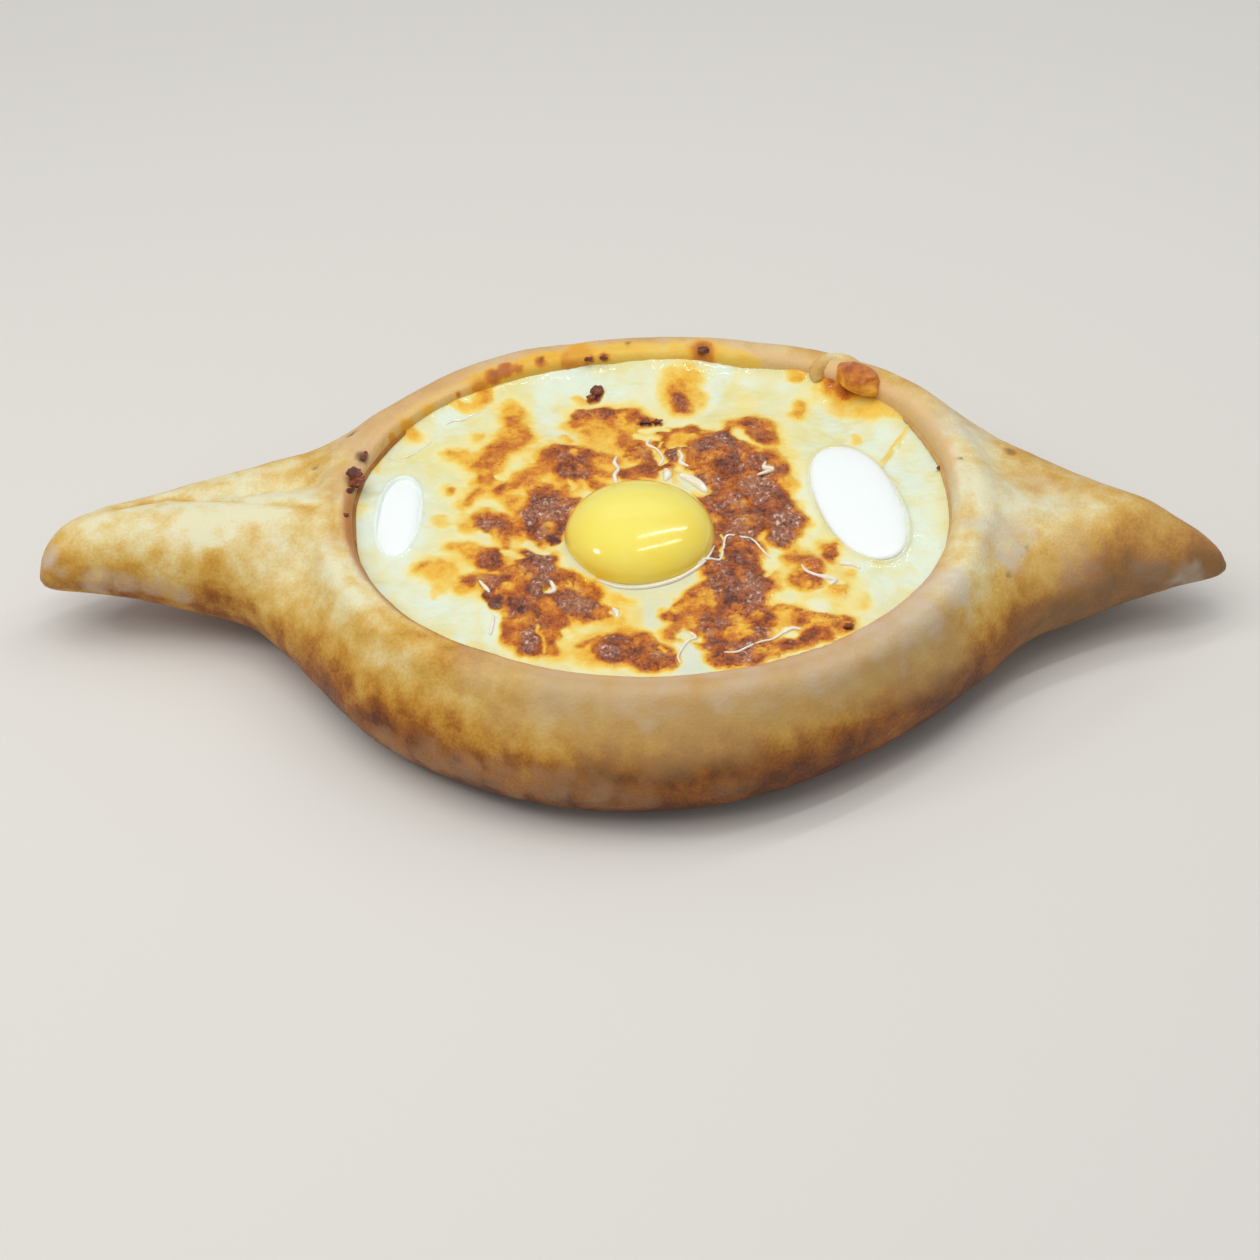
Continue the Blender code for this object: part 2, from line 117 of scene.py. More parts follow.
def paint(red, green, blue):
    """A colour given as 0 to 255 on screen, as the linear values that shaders take."""
    screen = np.array([red, green, blue]) / 255
    linear = np.where(screen <= 0.04045, screen / 12.92, ((screen + 0.055) / 1.055) ** 2.4)
    return (*(float(c) for c in linear), 1.0)


def make_floor():
    """A pale matt floor, no part of the bread."""
    half = FLOOR_HALF_SIZE
    mesh = bpy.data.meshes.new("floor")
    corners = [(-half, -half, 0), (half, -half, 0), (half, half, 0), (-half, half, 0)]
    mesh.from_pydata(corners, [], [(0, 1, 2, 3)])
    floor = bpy.data.objects.new("floor", mesh)
    bpy.context.scene.collection.objects.link(floor)
    material = bpy.data.materials.new("floor_paper")
    material.use_nodes = True
    shader = material.node_tree.nodes["Principled BSDF"]
    shader.inputs["Base Color"].default_value = paint(222, 219, 214)
    shader.inputs["Roughness"].default_value = 0.9
    mesh.materials.append(material)


def add_light(name, shape, place, size, watts, along=(1, 0, 0), tint=(1, 1, 1), glossy=True):
    """An area light that faces the bread, with its long side along a given direction."""
    lamp = bpy.data.lights.new(name, "AREA")
    lamp.shape = shape
    lamp.size = size[0]
    if shape == "RECTANGLE":
        lamp.size_y = size[1]
    lamp.energy = watts
    lamp.color = tint
    back = (Vector(place) - Vector(LIT_PLACE)).normalized()
    across = back.cross(Vector(along)).normalized()
    axes = Matrix((across.cross(back), across, back)).transposed()
    holder = bpy.data.objects.new(name, lamp)
    bpy.context.scene.collection.objects.link(holder)
    holder.matrix_world = Matrix.Translation(place) @ axes.to_4x4()
    holder.visible_glossy = glossy


def make_sky():
    """An even, slightly cool light from all round."""
    world = bpy.data.worlds.new("studio")
    bpy.context.scene.world = world
    world.use_nodes = True
    sky = world.node_tree.nodes["Background"]
    sky.inputs["Color"].default_value = (0.96, 0.98, 1.0, 1)
    sky.inputs["Strength"].default_value = SKY_STRENGTH


make_floor()
make_sky()
KEY_TINT = (1.0, 0.985, 0.95)
TUBE_BACK_ALONG, TUBE_FRONT_ALONG = (0.50, 0.21, -0.25), (0.50, 0.28, -0.16)
add_light("key", "DISK", (-0.26, -0.18, 1.00), (1.00,), watts=6.2, tint=KEY_TINT, glossy=False)
add_light("tube_back", "RECTANGLE", (0.24, 0.25, 0.68), TUBE_SIZE, 0.60, along=TUBE_BACK_ALONG)
add_light("tube_front", "RECTANGLE", (0.23, -0.01, 0.72), TUBE_SIZE, 0.60, along=TUBE_FRONT_ALONG)
add_light("window", "RECTANGLE", (0.02, 0.64, 0.62), WINDOW_SIZE, watts=0.12)
add_light("lamp_left", "DISK", (-0.54, -0.08, 0.49), (0.11,), watts=0.36)
bpy.context.scene.view_settings.view_transform = "Standard"

# %% [markdown]
# ## Uneven by nature
# Dough swells unevenly and cheese browns in patches. A smooth random field is the tool for
# both: random values on a lattice, blended softly between its corners. The same seed always
# gives the same field. Several layers at smaller and smaller sizes give detail at each scale.

# %% Random fields and soft steps
LATTICE = 32
FAR_OFF = 500.37


def soft_noise(points, size, seed):
    """A smooth random value from -1 to 1 at each point, changing over about one size."""
    table = np.random.default_rng(seed).uniform(-1, 1, (LATTICE, LATTICE, LATTICE))
    place = points / size + FAR_OFF
    cell = np.floor(place).astype(int)
    part = place - cell
    part = part**3 * (part * (part * 6 - 15) + 10)
    total = np.zeros(len(points))
    for corner in np.ndindex(2, 2, 2):
        weight = np.prod(np.where(corner, part, 1 - part), axis=1)
        total += weight * table[tuple(((cell + corner) % LATTICE).T)]
    return total


def layered_noise(points, size, seed, layers=3):
    """Noise of one size with finer, weaker noise on top, each layer half the size of the last."""
    total = np.zeros(len(points))
    for layer in range(layers):
        turned = points[:, [layer % 3, (layer + 1) % 3, (layer + 2) % 3]]
        total += soft_noise(turned, size / 2**layer, seed + layer) / 2**layer
    return total


def ramp(value, start, end):
    """Rises softly from 0 at start to 1 at end."""
    t = np.clip((value - start) / (end - start), 0, 1)
    return t * t * (3 - 2 * t)


def blend(a, b, share):
    """From a at share 0 to b at share 1."""
    return a + (b - a) * share


def smooth_min(a, b, k):
    """The smaller of two fields, with the crease between them rounded over about k."""
    h = np.maximum(k - np.abs(a - b), 0) / k
    return np.minimum(a, b) - h * h * k / 4


def smooth_max(a, b, k):
    """The larger of two fields, rounded over in the same way."""
    return -smooth_min(-a, -b, k)


print("a soft step at the middle gives", float(ramp(0.5, 0, 1)))

# %% [markdown]
# ## Dough form
# The crust is a rolled wall round an egg-shaped opening, with a twisted horn at each end. It
# is described by a field: a number at each point of space that is below zero inside the dough.
# Limbs and horns are joined with a soft minimum, which gives the pinched look of dough pressed
# together. The numbers are those of the solid, so that the fine skin lies on it.

# %% The opening, seen from above
OPENING_CENTRE = (0.0061, 0.0026)
OPENING_HALF_LENGTH = 0.0756
OPENING_FRONT_HALF, OPENING_BACK_HALF = 0.0658, 0.0638
OPENING_FRONT_POWER = 2.1
OPENING_BACK_POWER = {"left": 2.15, "right": 2.45}


def opening_line(samples=1440):
    """Points of the rim's inner edge and the outward direction at each."""
    turn = np.linspace(0, 2 * math.pi, samples, endpoint=False)
    c, s = np.cos(turn), np.sin(turn)
    back_power = np.where(c < 0, OPENING_BACK_POWER["left"], OPENING_BACK_POWER["right"])
    power = np.where(s < 0, OPENING_FRONT_POWER, back_power)
    half = np.where(s < 0, OPENING_FRONT_HALF, OPENING_BACK_HALF)
    x = OPENING_CENTRE[0] + OPENING_HALF_LENGTH * np.sign(c) * np.abs(c) ** (2 / power)
    y = OPENING_CENTRE[1] + half * np.sign(s) * np.abs(s) ** (2 / power)
    line = np.stack([x, y], axis=1)
    along = np.roll(line, -1, axis=0) - np.roll(line, 1, axis=0)
    out = np.stack([along[:, 1], -along[:, 0]], axis=1)
    return line, out / np.linalg.norm(out, axis=1)[:, None]


EDGE_LINE, EDGE_OUT = opening_line()


def plan_distance(x, y):
    """Distance outwards from the rim's inner edge, and the direction of the nearest edge point."""
    flat_x, flat_y = np.ravel(x), np.ravel(y)
    away = np.empty(len(flat_x))
    angle = np.empty(len(flat_x))
    heading = np.arctan2(EDGE_LINE[:, 1] - OPENING_CENTRE[1], EDGE_LINE[:, 0] - OPENING_CENTRE[0])
    for start in range(0, len(flat_x), 2000):
        rows = slice(start, start + 2000)
        dx = flat_x[rows, None] - EDGE_LINE[:, 0]
        dy = flat_y[rows, None] - EDGE_LINE[:, 1]
        near = np.argmin(dx * dx + dy * dy, axis=1)
        pick = np.arange(len(near))
        away[rows] = dx[pick, near] * EDGE_OUT[near, 0] + dy[pick, near] * EDGE_OUT[near, 1]
        angle[rows] = heading[near]
    return away.reshape(np.shape(x)), angle.reshape(np.shape(x))


print("opening:", np.round(np.ptp(EDGE_LINE, axis=0) / MM, 1), "mm across")

# %% [markdown]
# In section the wall is a round belly below and a smaller round rim above, with straight sides
# between. Hand-rolled dough is never even, so its thickness and height change softly round the
# bread: each change is one soft swelling about its own direction, in degrees.

# %% The rolled wall
WALL_THICKNESS, WALL_THICKER_AT_FRONT = 0.0194, 0.0010
BELLY_RADIUS, BELLY_HEIGHT = 0.0172, 0.0165
RIM_RADIUS, RIM_THICKER_AT_FRONT, RIM_TOP = 0.0052, 0.0008, 0.0375
RIM_WAVES = ((2, 34, 0.0009), (3, -27, 0.00045))
WALL_CHANGES = ((-48, 26, -0.0042), (140, 28, -0.0020), (-135, 22, -0.0012))
RIM_CHANGES = ((142, 28, -0.0020), (85, 30, 0.0010))
BELLY_LIFTS = ((-42, 24, 0.0014),)


def unevenness(angle, changes):
    """Sum of soft swellings, each about its own direction."""
    total = 0 * angle
    for direction, width, change in changes:
        turn = (np.degrees(angle) - direction + 180) % 360 - 180
        total = total + change * np.exp(-((turn / width) ** 2))
    return total


def rim_top(angle):
    """Height of the rim in each direction from the middle of the opening."""
    top = RIM_TOP + unevenness(angle, RIM_CHANGES)
    for waves, start, height in RIM_WAVES:
        top = top + height * np.cos(waves * angle + math.radians(start))
    return top


def round_cone(across, along, length, ra, rb):
    """Distance from a cone with ball ends: radius ra at along 0, rb at along length."""
    lean = (ra - rb) / length
    level = np.sqrt(1 - lean * lean)
    where = level * along - lean * across
    side = level * across + lean * along - ra
    start = np.hypot(across, along) - ra
    end = np.hypot(across, along - length) - rb
    return np.where(where < 0, start, np.where(where > level * length, end, side))


def wall(s, z, angle):
    """Distance from the rolled wall, s outwards from the rim's inner edge and z up."""
    thickness = WALL_THICKNESS - WALL_THICKER_AT_FRONT * np.sin(angle)
    thickness = thickness + unevenness(angle, WALL_CHANGES)
    belly_s = thickness - BELLY_RADIUS
    belly_z = BELLY_HEIGHT + unevenness(angle, BELLY_LIFTS)
    rim_radius = RIM_RADIUS - RIM_THICKER_AT_FRONT * np.sin(angle)
    ds = rim_radius - belly_s
    dz = rim_top(angle) - rim_radius - belly_z
    length = np.hypot(ds, dz)
    along = ((s - belly_s) * ds + (z - belly_z) * dz) / length
    across = np.abs((s - belly_s) * dz - (z - belly_z) * ds) / length
    return round_cone(across, along, length, BELLY_RADIUS, rim_radius)


rim_heights = rim_top(np.linspace(-math.pi, math.pi, 73))
print("rim from", round(rim_heights.min() / MM, 1), "to", round(rim_heights.max() / MM, 1), "mm high")

# %% [markdown]
# At each end the dough was pinched and twisted into a horn. A horn is an oval tube along the
# length of the bread that narrows to a rounded tip, hooked a little to the front and lifted off
# the table. Straight limbs at its root stand for the shoulders, where the rolled edge turns in.

# %% Sizes of the horns
CAVITY_FLOOR, SLAB_TOP, SLAB_REACH, BASE_ROUNDING, GAP = 0.0090, 0.0250, 0.002, 0.003, 0.0003
FOLD_ROUNDING, SHOULDER_ROUNDING, JOIN_ROUNDING = 0.0030, 0.005, 0.008
LEFT_TIP_X, RIGHT_TIP_X = -0.1505, 0.1512
LEFT_SHOULDER = {
    "from": (-0.072, -0.025, 0.016), "to": (-0.094, -0.001, 0.018), "radii": (0.0130, 0.0120),
}
LEFT_TAIL = {
    "from": (-0.062, 0.034, 0.017), "to": (-0.131, 0.0098, 0.0236), "radii": (0.0155, 0.0072),
}
BACK_SHOULDER = {
    "from": (0.073, 0.038, 0.0175), "to": (0.127, 0.003, 0.0215), "radii": (0.0163, 0.0090),
}
FRONT_SHOULDER = {
    "from": (0.080, -0.025, 0.0165), "to": (0.118, -0.006, 0.0205), "radii": (0.0135, 0.0090),
}
LEFT_TIP = {
    "radius": 0.0090, "length": 0.0056, "raised": 0.55, "lift": 0.0132, "lift_length": 0.045,
    "middle_y": 0.0035, "hook": 0.0050, "hook_length": 0.007,
}
RIGHT_TIP = {
    "radius": 0.0060, "length": 0.0085, "raised": 1.05, "lift": 0.0118, "lift_length": 0.030,
    "middle_y": -0.0025, "hook": 0.0062, "hook_length": 0.008,
}
LEFT_FLARE, LEFT_FLARE_REACH, LEFT_ROOT_X = 0.140, 0.066, -0.060
LEFT_DRIFT, LEFT_DRIFT_FROM = 0.06, 0.025
RIGHT_FLARE, RIGHT_FLARE_REACH, RIGHT_ROOT_X = 0.290, 0.060, 0.075
RIGHT_RISE, RIGHT_MOST_UP = 0.258, 0.0175
print("horn tips at", round(LEFT_TIP_X / MM, 1), "and", round(RIGHT_TIP_X / MM, 1), "mm")

# %% Horns, tail and the whole dough field
def limb(x, y, z, form):
    """A straight dough limb whose radius changes evenly from one end to the other."""
    a, (ra, rb) = form["from"], form["radii"]
    axis = np.subtract(form["to"], a)
    length = float(np.linalg.norm(axis))
    along = ((x - a[0]) * axis[0] + (y - a[1]) * axis[1] + (z - a[2]) * axis[2]) / length
    square = (x - a[0]) ** 2 + (y - a[1]) ** 2 + (z - a[2]) ** 2
    return round_cone(np.sqrt(np.maximum(square - along**2, 0)), along, length, ra, rb)


def horn(u, y, z, side, up, centre_y, lift):
    """A horn along X: u is the distance in from its tip, side and up are its half width and height."""
    far = np.hypot((y - centre_y) / side, (z - lift - up) / up)
    return np.where(u > 0, (far - 1) * np.minimum(side, up), far * 0.00001 - u)


def tip_form(u, tip):
    """Radius of the rounded tip, height of its underside and its middle, at u in from the end."""
    radius = tip["radius"] * np.sqrt(1 - np.exp(-u / tip["length"])) + 0.00001
    lift = tip["lift"] * np.exp(-((u / tip["lift_length"]) ** 2))
    lift = lift + tip["raised"] * (tip["radius"] - radius)
    return radius, lift, tip["middle_y"] - tip["hook"] * np.exp(-u / tip["hook_length"])


def left_horn(x, y, z):
    u = np.maximum(x - LEFT_TIP_X, 0)
    radius, lift, centre_y = tip_form(u, LEFT_TIP)
    radius = radius + LEFT_FLARE * np.minimum(u, LEFT_FLARE_REACH)
    centre_y = centre_y - LEFT_DRIFT * np.maximum(u - LEFT_DRIFT_FROM, 0)
    roll = horn(x - LEFT_TIP_X, y, z, radius, radius, centre_y, lift)
    roll = np.maximum(roll, x - LEFT_ROOT_X)
    return smooth_min(roll, limb(x, y, z, LEFT_SHOULDER), SHOULDER_ROUNDING)


def right_horn(x, y, z):
    u = np.maximum(RIGHT_TIP_X - x, 0)
    radius, lift, centre_y = tip_form(u, RIGHT_TIP)
    up = smooth_min(radius + RIGHT_RISE * u, RIGHT_MOST_UP, SHOULDER_ROUNDING)
    side = radius + RIGHT_FLARE * np.minimum(u, RIGHT_FLARE_REACH)
    cone = horn(RIGHT_TIP_X - x, y, z, side, up, centre_y, lift)
    cone = np.maximum(cone, RIGHT_ROOT_X - x)
    back, front = limb(x, y, z, BACK_SHOULDER), limb(x, y, z, FRONT_SHOULDER)
    return smooth_min(cone, smooth_min(back, front, SHOULDER_ROUNDING), JOIN_ROUNDING)


def dough_field(x, y, z, s, angle):
    """Below zero inside the dough: wall, base, tail and horns, less the hollow for the cheese."""
    body = np.minimum(wall(s, z, angle), np.maximum(z - SLAB_TOP, s - SLAB_REACH))
    body = smooth_min(body, limb(x, y, z, LEFT_TAIL), JOIN_ROUNDING)
    body = smooth_min(body, left_horn(x, y, z), FOLD_ROUNDING)
    body = smooth_min(body, right_horn(x, y, z), JOIN_ROUNDING)
    body = smooth_max(body, -z, BASE_ROUNDING)
    return np.maximum(body, np.minimum(-s, z - CAVITY_FLOOR))


shoulder_gap = limb(-0.08, -0.015, 0.0, LEFT_SHOULDER)
print("left shoulder:", round(float(shoulder_gap) / MM, 1), "mm from the table under it")

# %% [markdown]
# ## Skin of the dough
# The field is read on a fine grid, and a surface net is laid where it crosses zero: one corner
# in each grid cell that the surface passes through, and one quad for each grid edge that it
# cuts. A few rounds of averaging with the neighbours take away the grid's stair steps.

# %% Surface net
SKIN_STEP = 0.00112
DOUGH_HALF_SIZE = (0.156, 0.092)
DOUGH_TOP = 0.045
SMOOTHING_ROUNDS = 4


def surface_net(field, origin, step):
    """Corners and quads of the surface where the field crosses zero."""
    cells = tuple(n - 1 for n in field.shape)
    total = np.zeros(cells + (3,))
    count = np.zeros(cells)
    crossings = []
    for axis in range(3):
        low, high = [slice(None)] * 3, [slice(None)] * 3
        low[axis], high[axis] = slice(0, -1), slice(1, None)
        start, end = field[tuple(low)], field[tuple(high)]
        cross = (start < 0) != (end < 0)
        at = np.argwhere(cross)
        point = at.astype(float)
        point[:, axis] += start[cross] / (start[cross] - end[cross])
        one, two = (axis + 1) % 3, (axis + 2) % 3
        around = []
        for back_one, back_two in ((1, 1), (0, 1), (0, 0), (1, 0)):
            cell = at.copy()
            cell[:, one] -= back_one
            cell[:, two] -= back_two
            around.append(cell)
            np.add.at(total, tuple(cell.T), point)
            np.add.at(count, tuple(cell.T), 1)
        crossings.append((around, start[cross] < 0))
    used = count > 0
    number = np.full(cells, -1)
    number[used] = np.arange(used.sum())
    corners = total[used] / count[used][:, None] * step + np.array(origin)
    quads = []
    for around, outwards in crossings:
        quad = np.stack([number[tuple(cell.T)] for cell in around], axis=1)
        quad[~outwards] = quad[~outwards][:, ::-1]
        quads.append(quad)
    return corners, np.concatenate(quads)


print("grid step:", SKIN_STEP / MM, "mm")

# %% Smooth the net and make the skin
def relaxed(corners, quads, rounds):
    """Moves each corner half way to the middle of its neighbours, several times."""
    ends = np.concatenate([quads[:, [i, (i + 1) % 4]] for i in range(4)])
    count = np.bincount(ends[:, 0], minlength=len(corners))[:, None]
    for _ in range(rounds):
        sums = [np.bincount(ends[:, 0], corners[ends[:, 1], k], len(corners)) for k in range(3)]
        corners = (corners + np.stack(sums, axis=1) / count) / 2
    return corners


def dough_skin(step):
    """Corners and quads of the whole crust, in the object's frame."""
    xs, ys = (np.arange(-half, half + step, step) for half in DOUGH_HALF_SIZE)
    zs = np.arange(-1.5 * step, DOUGH_TOP, step)
    px, py = np.meshgrid(xs, ys, indexing="ij")
    s, angle = plan_distance(px, py)
    field = dough_field(px[:, :, None], py[:, :, None], zs, s[:, :, None], angle[:, :, None])
    corners, quads = surface_net(field, (xs[0], ys[0], zs[0]), step)
    corners = relaxed(corners, quads, SMOOTHING_ROUNDS)
    corners[:, :2] -= DRAWN_SHIFT
    return corners, quads


skin_corners, skin_quads = dough_skin(SKIN_STEP)
print("skin:", len(skin_corners), "corners,", 2 * len(skin_quads), "triangles")

# %% [markdown]
# ## Meshes with masks
# A mask is a number on each corner, such as how brown the dough is there. Materials read the
# masks by name. Masks made together with the shape keep colour and relief in step: a blister
# is brown where it stands proud, and a crease is pale where it lies deep.

# %% Mesh helpers
def make_piece(name, corners, faces):
    """A smooth mesh object that rides on the body."""
    mesh = bpy.data.meshes.new(name)
    mesh.from_pydata(corners.tolist(), [], [tuple(face) for face in faces])
    mesh.polygons.foreach_set("use_smooth", [True] * len(mesh.polygons))
    mesh.update()
    piece = bpy.data.objects.new(name, mesh)
    bpy.context.scene.collection.objects.link(piece)
    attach(piece, "root")
    return piece


def corner_normals(corners, quads):
    """Unit normal at each corner, as the mean of its faces' normals."""
    diagonal_a = corners[quads[:, 2]] - corners[quads[:, 0]]
    diagonal_b = corners[quads[:, 3]] - corners[quads[:, 1]]
    face = np.cross(diagonal_a, diagonal_b)
    total = np.zeros_like(corners)
    for i in range(4):
        for k in range(3):
            total[:, k] += np.bincount(quads[:, i], face[:, k], len(corners))
    return total / np.maximum(np.linalg.norm(total, axis=1), 1e-12)[:, None]


def add_mask(piece, name, values):
    layer = piece.data.attributes.new(name, "FLOAT", "POINT")
    layer.data.foreach_set("value", np.asarray(values, dtype=np.float32))


def spots(points, places, wobble=0.0):
    """Greatest strength of round places (x, y, z, radius, strength), all in millimetres."""
    found = np.zeros(len(points))
    for x, y, z, radius, strength in places:
        far = np.linalg.norm(points / MM - (x, y, z), axis=1) / radius
        found = np.maximum(found, strength * ramp(far + wobble, 1.3, 0.5))
    return found


def summed_spots(points, places, wobble=0.0):
    """Sum of soft round places (x, y, z, radius, change), for changes that go both ways."""
    found = np.zeros(len(points))
    for x, y, z, radius, change in places:
        far = np.linalg.norm(points / MM - (x, y, z), axis=1) / radius
        found += change * ramp(far + wobble, 1.5, 0.2)
    return found


print("spots reach 1 at their middle:", float(spots(np.zeros((1, 3)), [(0, 0, 0, 1, 1)])[0]))

# %% [markdown]
# ## Relief of the dough
# Real dough is not a smooth tube. It has broad lumps from shaping by hand, finer puckers where
# it was pulled towards the rim, thin ridges along the back rim where it was folded over, and a
# low ridge and a shallow groove along the lip elsewhere. A flap lies over the left horn, with a
# deep fold under its edge and torn flaky skin below. Steam left a few pin holes. All of this is
# one number for each corner of the skin: how far it moves along its own normal.

# %% Push the skin in and out
drawn = skin_corners.copy()
drawn[:, :2] += DRAWN_SHIFT
rim_gap, rim_angle = plan_distance(drawn[:, 0], drawn[:, 1])
rim_gap = rim_gap / MM
skin_normals = corner_normals(skin_corners, skin_quads)
X, Y, Z = (skin_corners / MM).T
outside = ramp(rim_gap, 0.0, 1.5)

FLAKES = [(-137, -8.5, 22.5, 5, 1), (-131, -8.8, 20.5, 5, 1), (-125, -10.0, 20.8, 4, 0.8)]
PIN_HOLES = [
    (-101.4, -14.8, 19.9, 1.1, 1), (99.4, -17.4, 32.4, 0.8, 1), (93.4, -26.7, 31.3, 0.6, 1),
    (89.2, -30.1, 32.6, 0.6, 1), (-71.8, 33.2, 35.7, 1.3, 1), (39.9, -78.6, 20.8, 1.0, 1),
    (-80.7, 22.3, 33.1, 0.9, 1), (97.0, -20.0, 32.0, 0.5, 1),
]
CREASES = [(-74, -30, 36, 7, 1), (-66, -40, 34, 6, 0.8), (-98, 4, 30, 9, 0.5)]
FOLD_UNDER_FLAP = [
    (-130, 7), (-118, 13.5), (-110, 11.5), (-101, 7.5), (-93, 4.0), (-85, 0.8), (-79, 0),
]
FOLD_WIDTH = 2.2
RIDGE_AT, RIDGE_WIDTH, GROOVE_AT, GROOVE_WIDTH = 2.3, 1.0, 4.8, 1.3


def near_line(path, width):
    """Closeness from 0 to 1 to a line across the top of the dough, drawn through points in plan."""
    found = np.zeros(len(X))
    for (x0, y0), (x1, y1) in zip(path, path[1:]):
        dx, dy = x1 - x0, y1 - y0
        share = np.clip(((X - x0) * dx + (Y - y0) * dy) / (dx * dx + dy * dy), 0, 1)
        far = np.hypot(X - x0 - share * dx, Y - y0 - share * dy)
        found = np.maximum(found, ramp(far, width, 0.0))
    return found * ramp(Z, 28, 30)


def across_lip(where, width):
    """Closeness from 0 to 1 to a line that runs along the rolled rim, at the front, left and right."""
    line = where + 0.45 * soft_noise(skin_corners, 11 * MM, 71)
    return np.exp(-(((rim_gap - line) / width) ** 2)) * ramp(Y, 34, 20) * ramp(Z, 29, 31)


flap_fold = near_line(FOLD_UNDER_FLAP, FOLD_WIDTH)
lip_ridge, lip_groove = across_lip(RIDGE_AT, RIDGE_WIDTH), across_lip(GROOVE_AT, GROOVE_WIDTH)


def dough_relief():
    """How far each corner of the skin moves outwards, in millimetres."""
    lumps = 0.42 * layered_noise(skin_corners, 26 * MM, 11, 2)
    puckers = 0.13 * layered_noise(skin_corners, 8 * MM, 21, 2)
    grain = 0.030 * layered_noise(skin_corners, 2.0 * MM, 31, 2)
    folds = np.sin(rim_gap * 2.6 + 1.2 * soft_noise(skin_corners, 14 * MM, 51))
    back = ramp(rim_angle, 1.2, 1.7) * ramp(rim_angle, 3.05, 2.7) * ramp(rim_gap, 9, 5)
    along = X * 0.55 - Y * 0.83 + 3 * soft_noise(skin_corners, 16 * MM, 41)
    creased = np.sin(along * 1.5) * spots(skin_corners, CREASES)
    flaky = spots(skin_corners, FLAKES) * layered_noise(skin_corners, 2.0 * MM, 61, 2)
    holes = spots(skin_corners, PIN_HOLES)
    relief = lumps + puckers + grain + 0.24 * folds * back * outside + 0.16 * creased
    relief += 0.34 * lip_ridge - 0.30 * lip_groove
    return relief + 0.50 * flaky - 0.55 * holes - 0.60 * flap_fold


relief = dough_relief() * ramp(Z, 0.5, 4.0) * blend(0.15, 1.0, outside)
skin_corners = skin_corners + skin_normals * (relief * MM)[:, None]
skin_corners[:, 2] = np.maximum(skin_corners[:, 2], 0)
print("relief from", round(relief.min(), 2), "to", round(relief.max(), 2), "mm")

# %% [markdown]
# ## Baking of the dough
# An oven browns dough from below, where it lies on hot stone, and leaves the raised tops of the
# horns cream. So the tone follows height and slope, and patchy noise breaks it up. The same mask
# also holds painted shade and light: darker low down, partly browning and partly painted shade;
# darker along the top of the front rim, in the fold under the flap and in the groove along the
# lip, as painted shade; lighter on faces that look up and on the ridge along the lip, as painted
# light. Places that the baker's hand, flour or spilt cheese touched are listed one by one: where
# they are, how wide, and how strong, in millimetres. A mask made this way can be placed anywhere,
# which no pattern from noise alone would allow.

# %% Baked places
# Each place makes the dough darker (plus) or lighter (minus); the places on top of the front rim darken
# it as painted shade.
BAKED_PLACES = [
    (-104, -6, 33, 5, -0.06), (-118, -3, 33, 14, -0.06), (-92, -6, 36, 14, -0.04),
    (-100, 12, 31, 16, -0.06), (-80, 22, 33, 11, 0.16), (-128, -8, 28, 5, 0.10),
    (-107, -11, 29, 6, 0.08), (86, 5, 38, 14, -0.06), (108, 0, 34, 14, -0.02), (116, -4, 33, 6, -0.08),
    (118, -12, 31, 5, 0.12), (84, -18, 38, 8, -0.04), (104, -22, 22, 14, 0.06), (0, -72, 35, 26, 0.14),
    (40, -68, 35, 26, 0.13), (62, -52, 36, 16, 0.10), (-50, -56, 36, 14, 0.07), (-58, -46, 37, 9, 0.05),
    (128, -12, 28, 8, 0.12), (144, -10, 24, 9, 0.14), (-142, -6, 28, 8, 0.12), (56, -70, 12, 12, 0.10),
    (76, -52, 10, 12, 0.10), (-74, 42, 35, 12, 0.18), (-56, 58, 36, 10, 0.14), (100, 22, 33, 10, 0.06),
    (-56, -58, 30, 12, -0.12), (-30, 70, 36, 16, 0.10), (10, 74, 36, 20, 0.10), (50, 66, 36, 18, 0.10),
    (78, 40, 36, 12, 0.04), (-70, -22, 37, 8, 0.05), (-38, -58, 37, 7, 0.12),
    (-52, -46, 37, 7, 0.10), (104, 4, 34, 18, 0.08), (122, -8, 27, 14, 0.14), (-82, -6, 36, 14, 0.06),
    (-80, -30, 30, 14, 0.05), (-90, 14, 33, 9, -0.06), (-55, -63, 23, 10, 0.05),
    (78, -46, 27, 10, -0.07), (-93, 12, 33, 10, -0.08), (-104, -2, 35, 12, -0.05),
    (100, 2, 36, 9, -0.05), (-10, -77, 27, 8, 0.08), (16, -77, 26, 8, 0.07), (-118, 4, 32, 8, 0.08),
    (118, -14, 18, 16, 0.12), (100, -24, 14, 14, 0.10), (142, -12, 16, 10, 0.10),
    (-102, 8, 31, 6, 0.06), (-86, 4, 34, 5, 0.06), (-58, 52, 32, 14, 0.10),
]
print(len(BAKED_PLACES), "baked places")

# %% Rubbed, peach and floured places
RUBBED_PLACES = [
    (-146.4, -5, 26.4, 3.4, 0.8), (-143.9, -7.2, 24.2, 2.5, 0.5), (91, -18, 37, 8, 0.9),
    (97, -13, 34.5, 6, 0.6), (76, -38, 37, 8, 0.85), (69, -46, 37, 8, 0.8), (59, -54, 37, 9, 0.6),
    (141, -12.6, 18, 5, 0.6), (131, -15, 22, 5, 0.15), (44, -62, 36, 9, 0.5), (24, -67, 37, 9, 0.45),
    (4, -69, 37, 9, 0.45), (-16, -68, 37, 9, 0.35), (110, -16, 27, 8, 0.25), (86, 30, 36, 10, 0.5),
    (-36, -60, 36, 8, 0.25), (102, 3, 36, 12, 0.30), (-128, -9.4, 21, 4, 0.5),
    (-120, -10.2, 20.4, 4, 0.5), (-135, -8.4, 22, 4, 0.6), (-113, -11, 20, 3.5, 0.5),
]
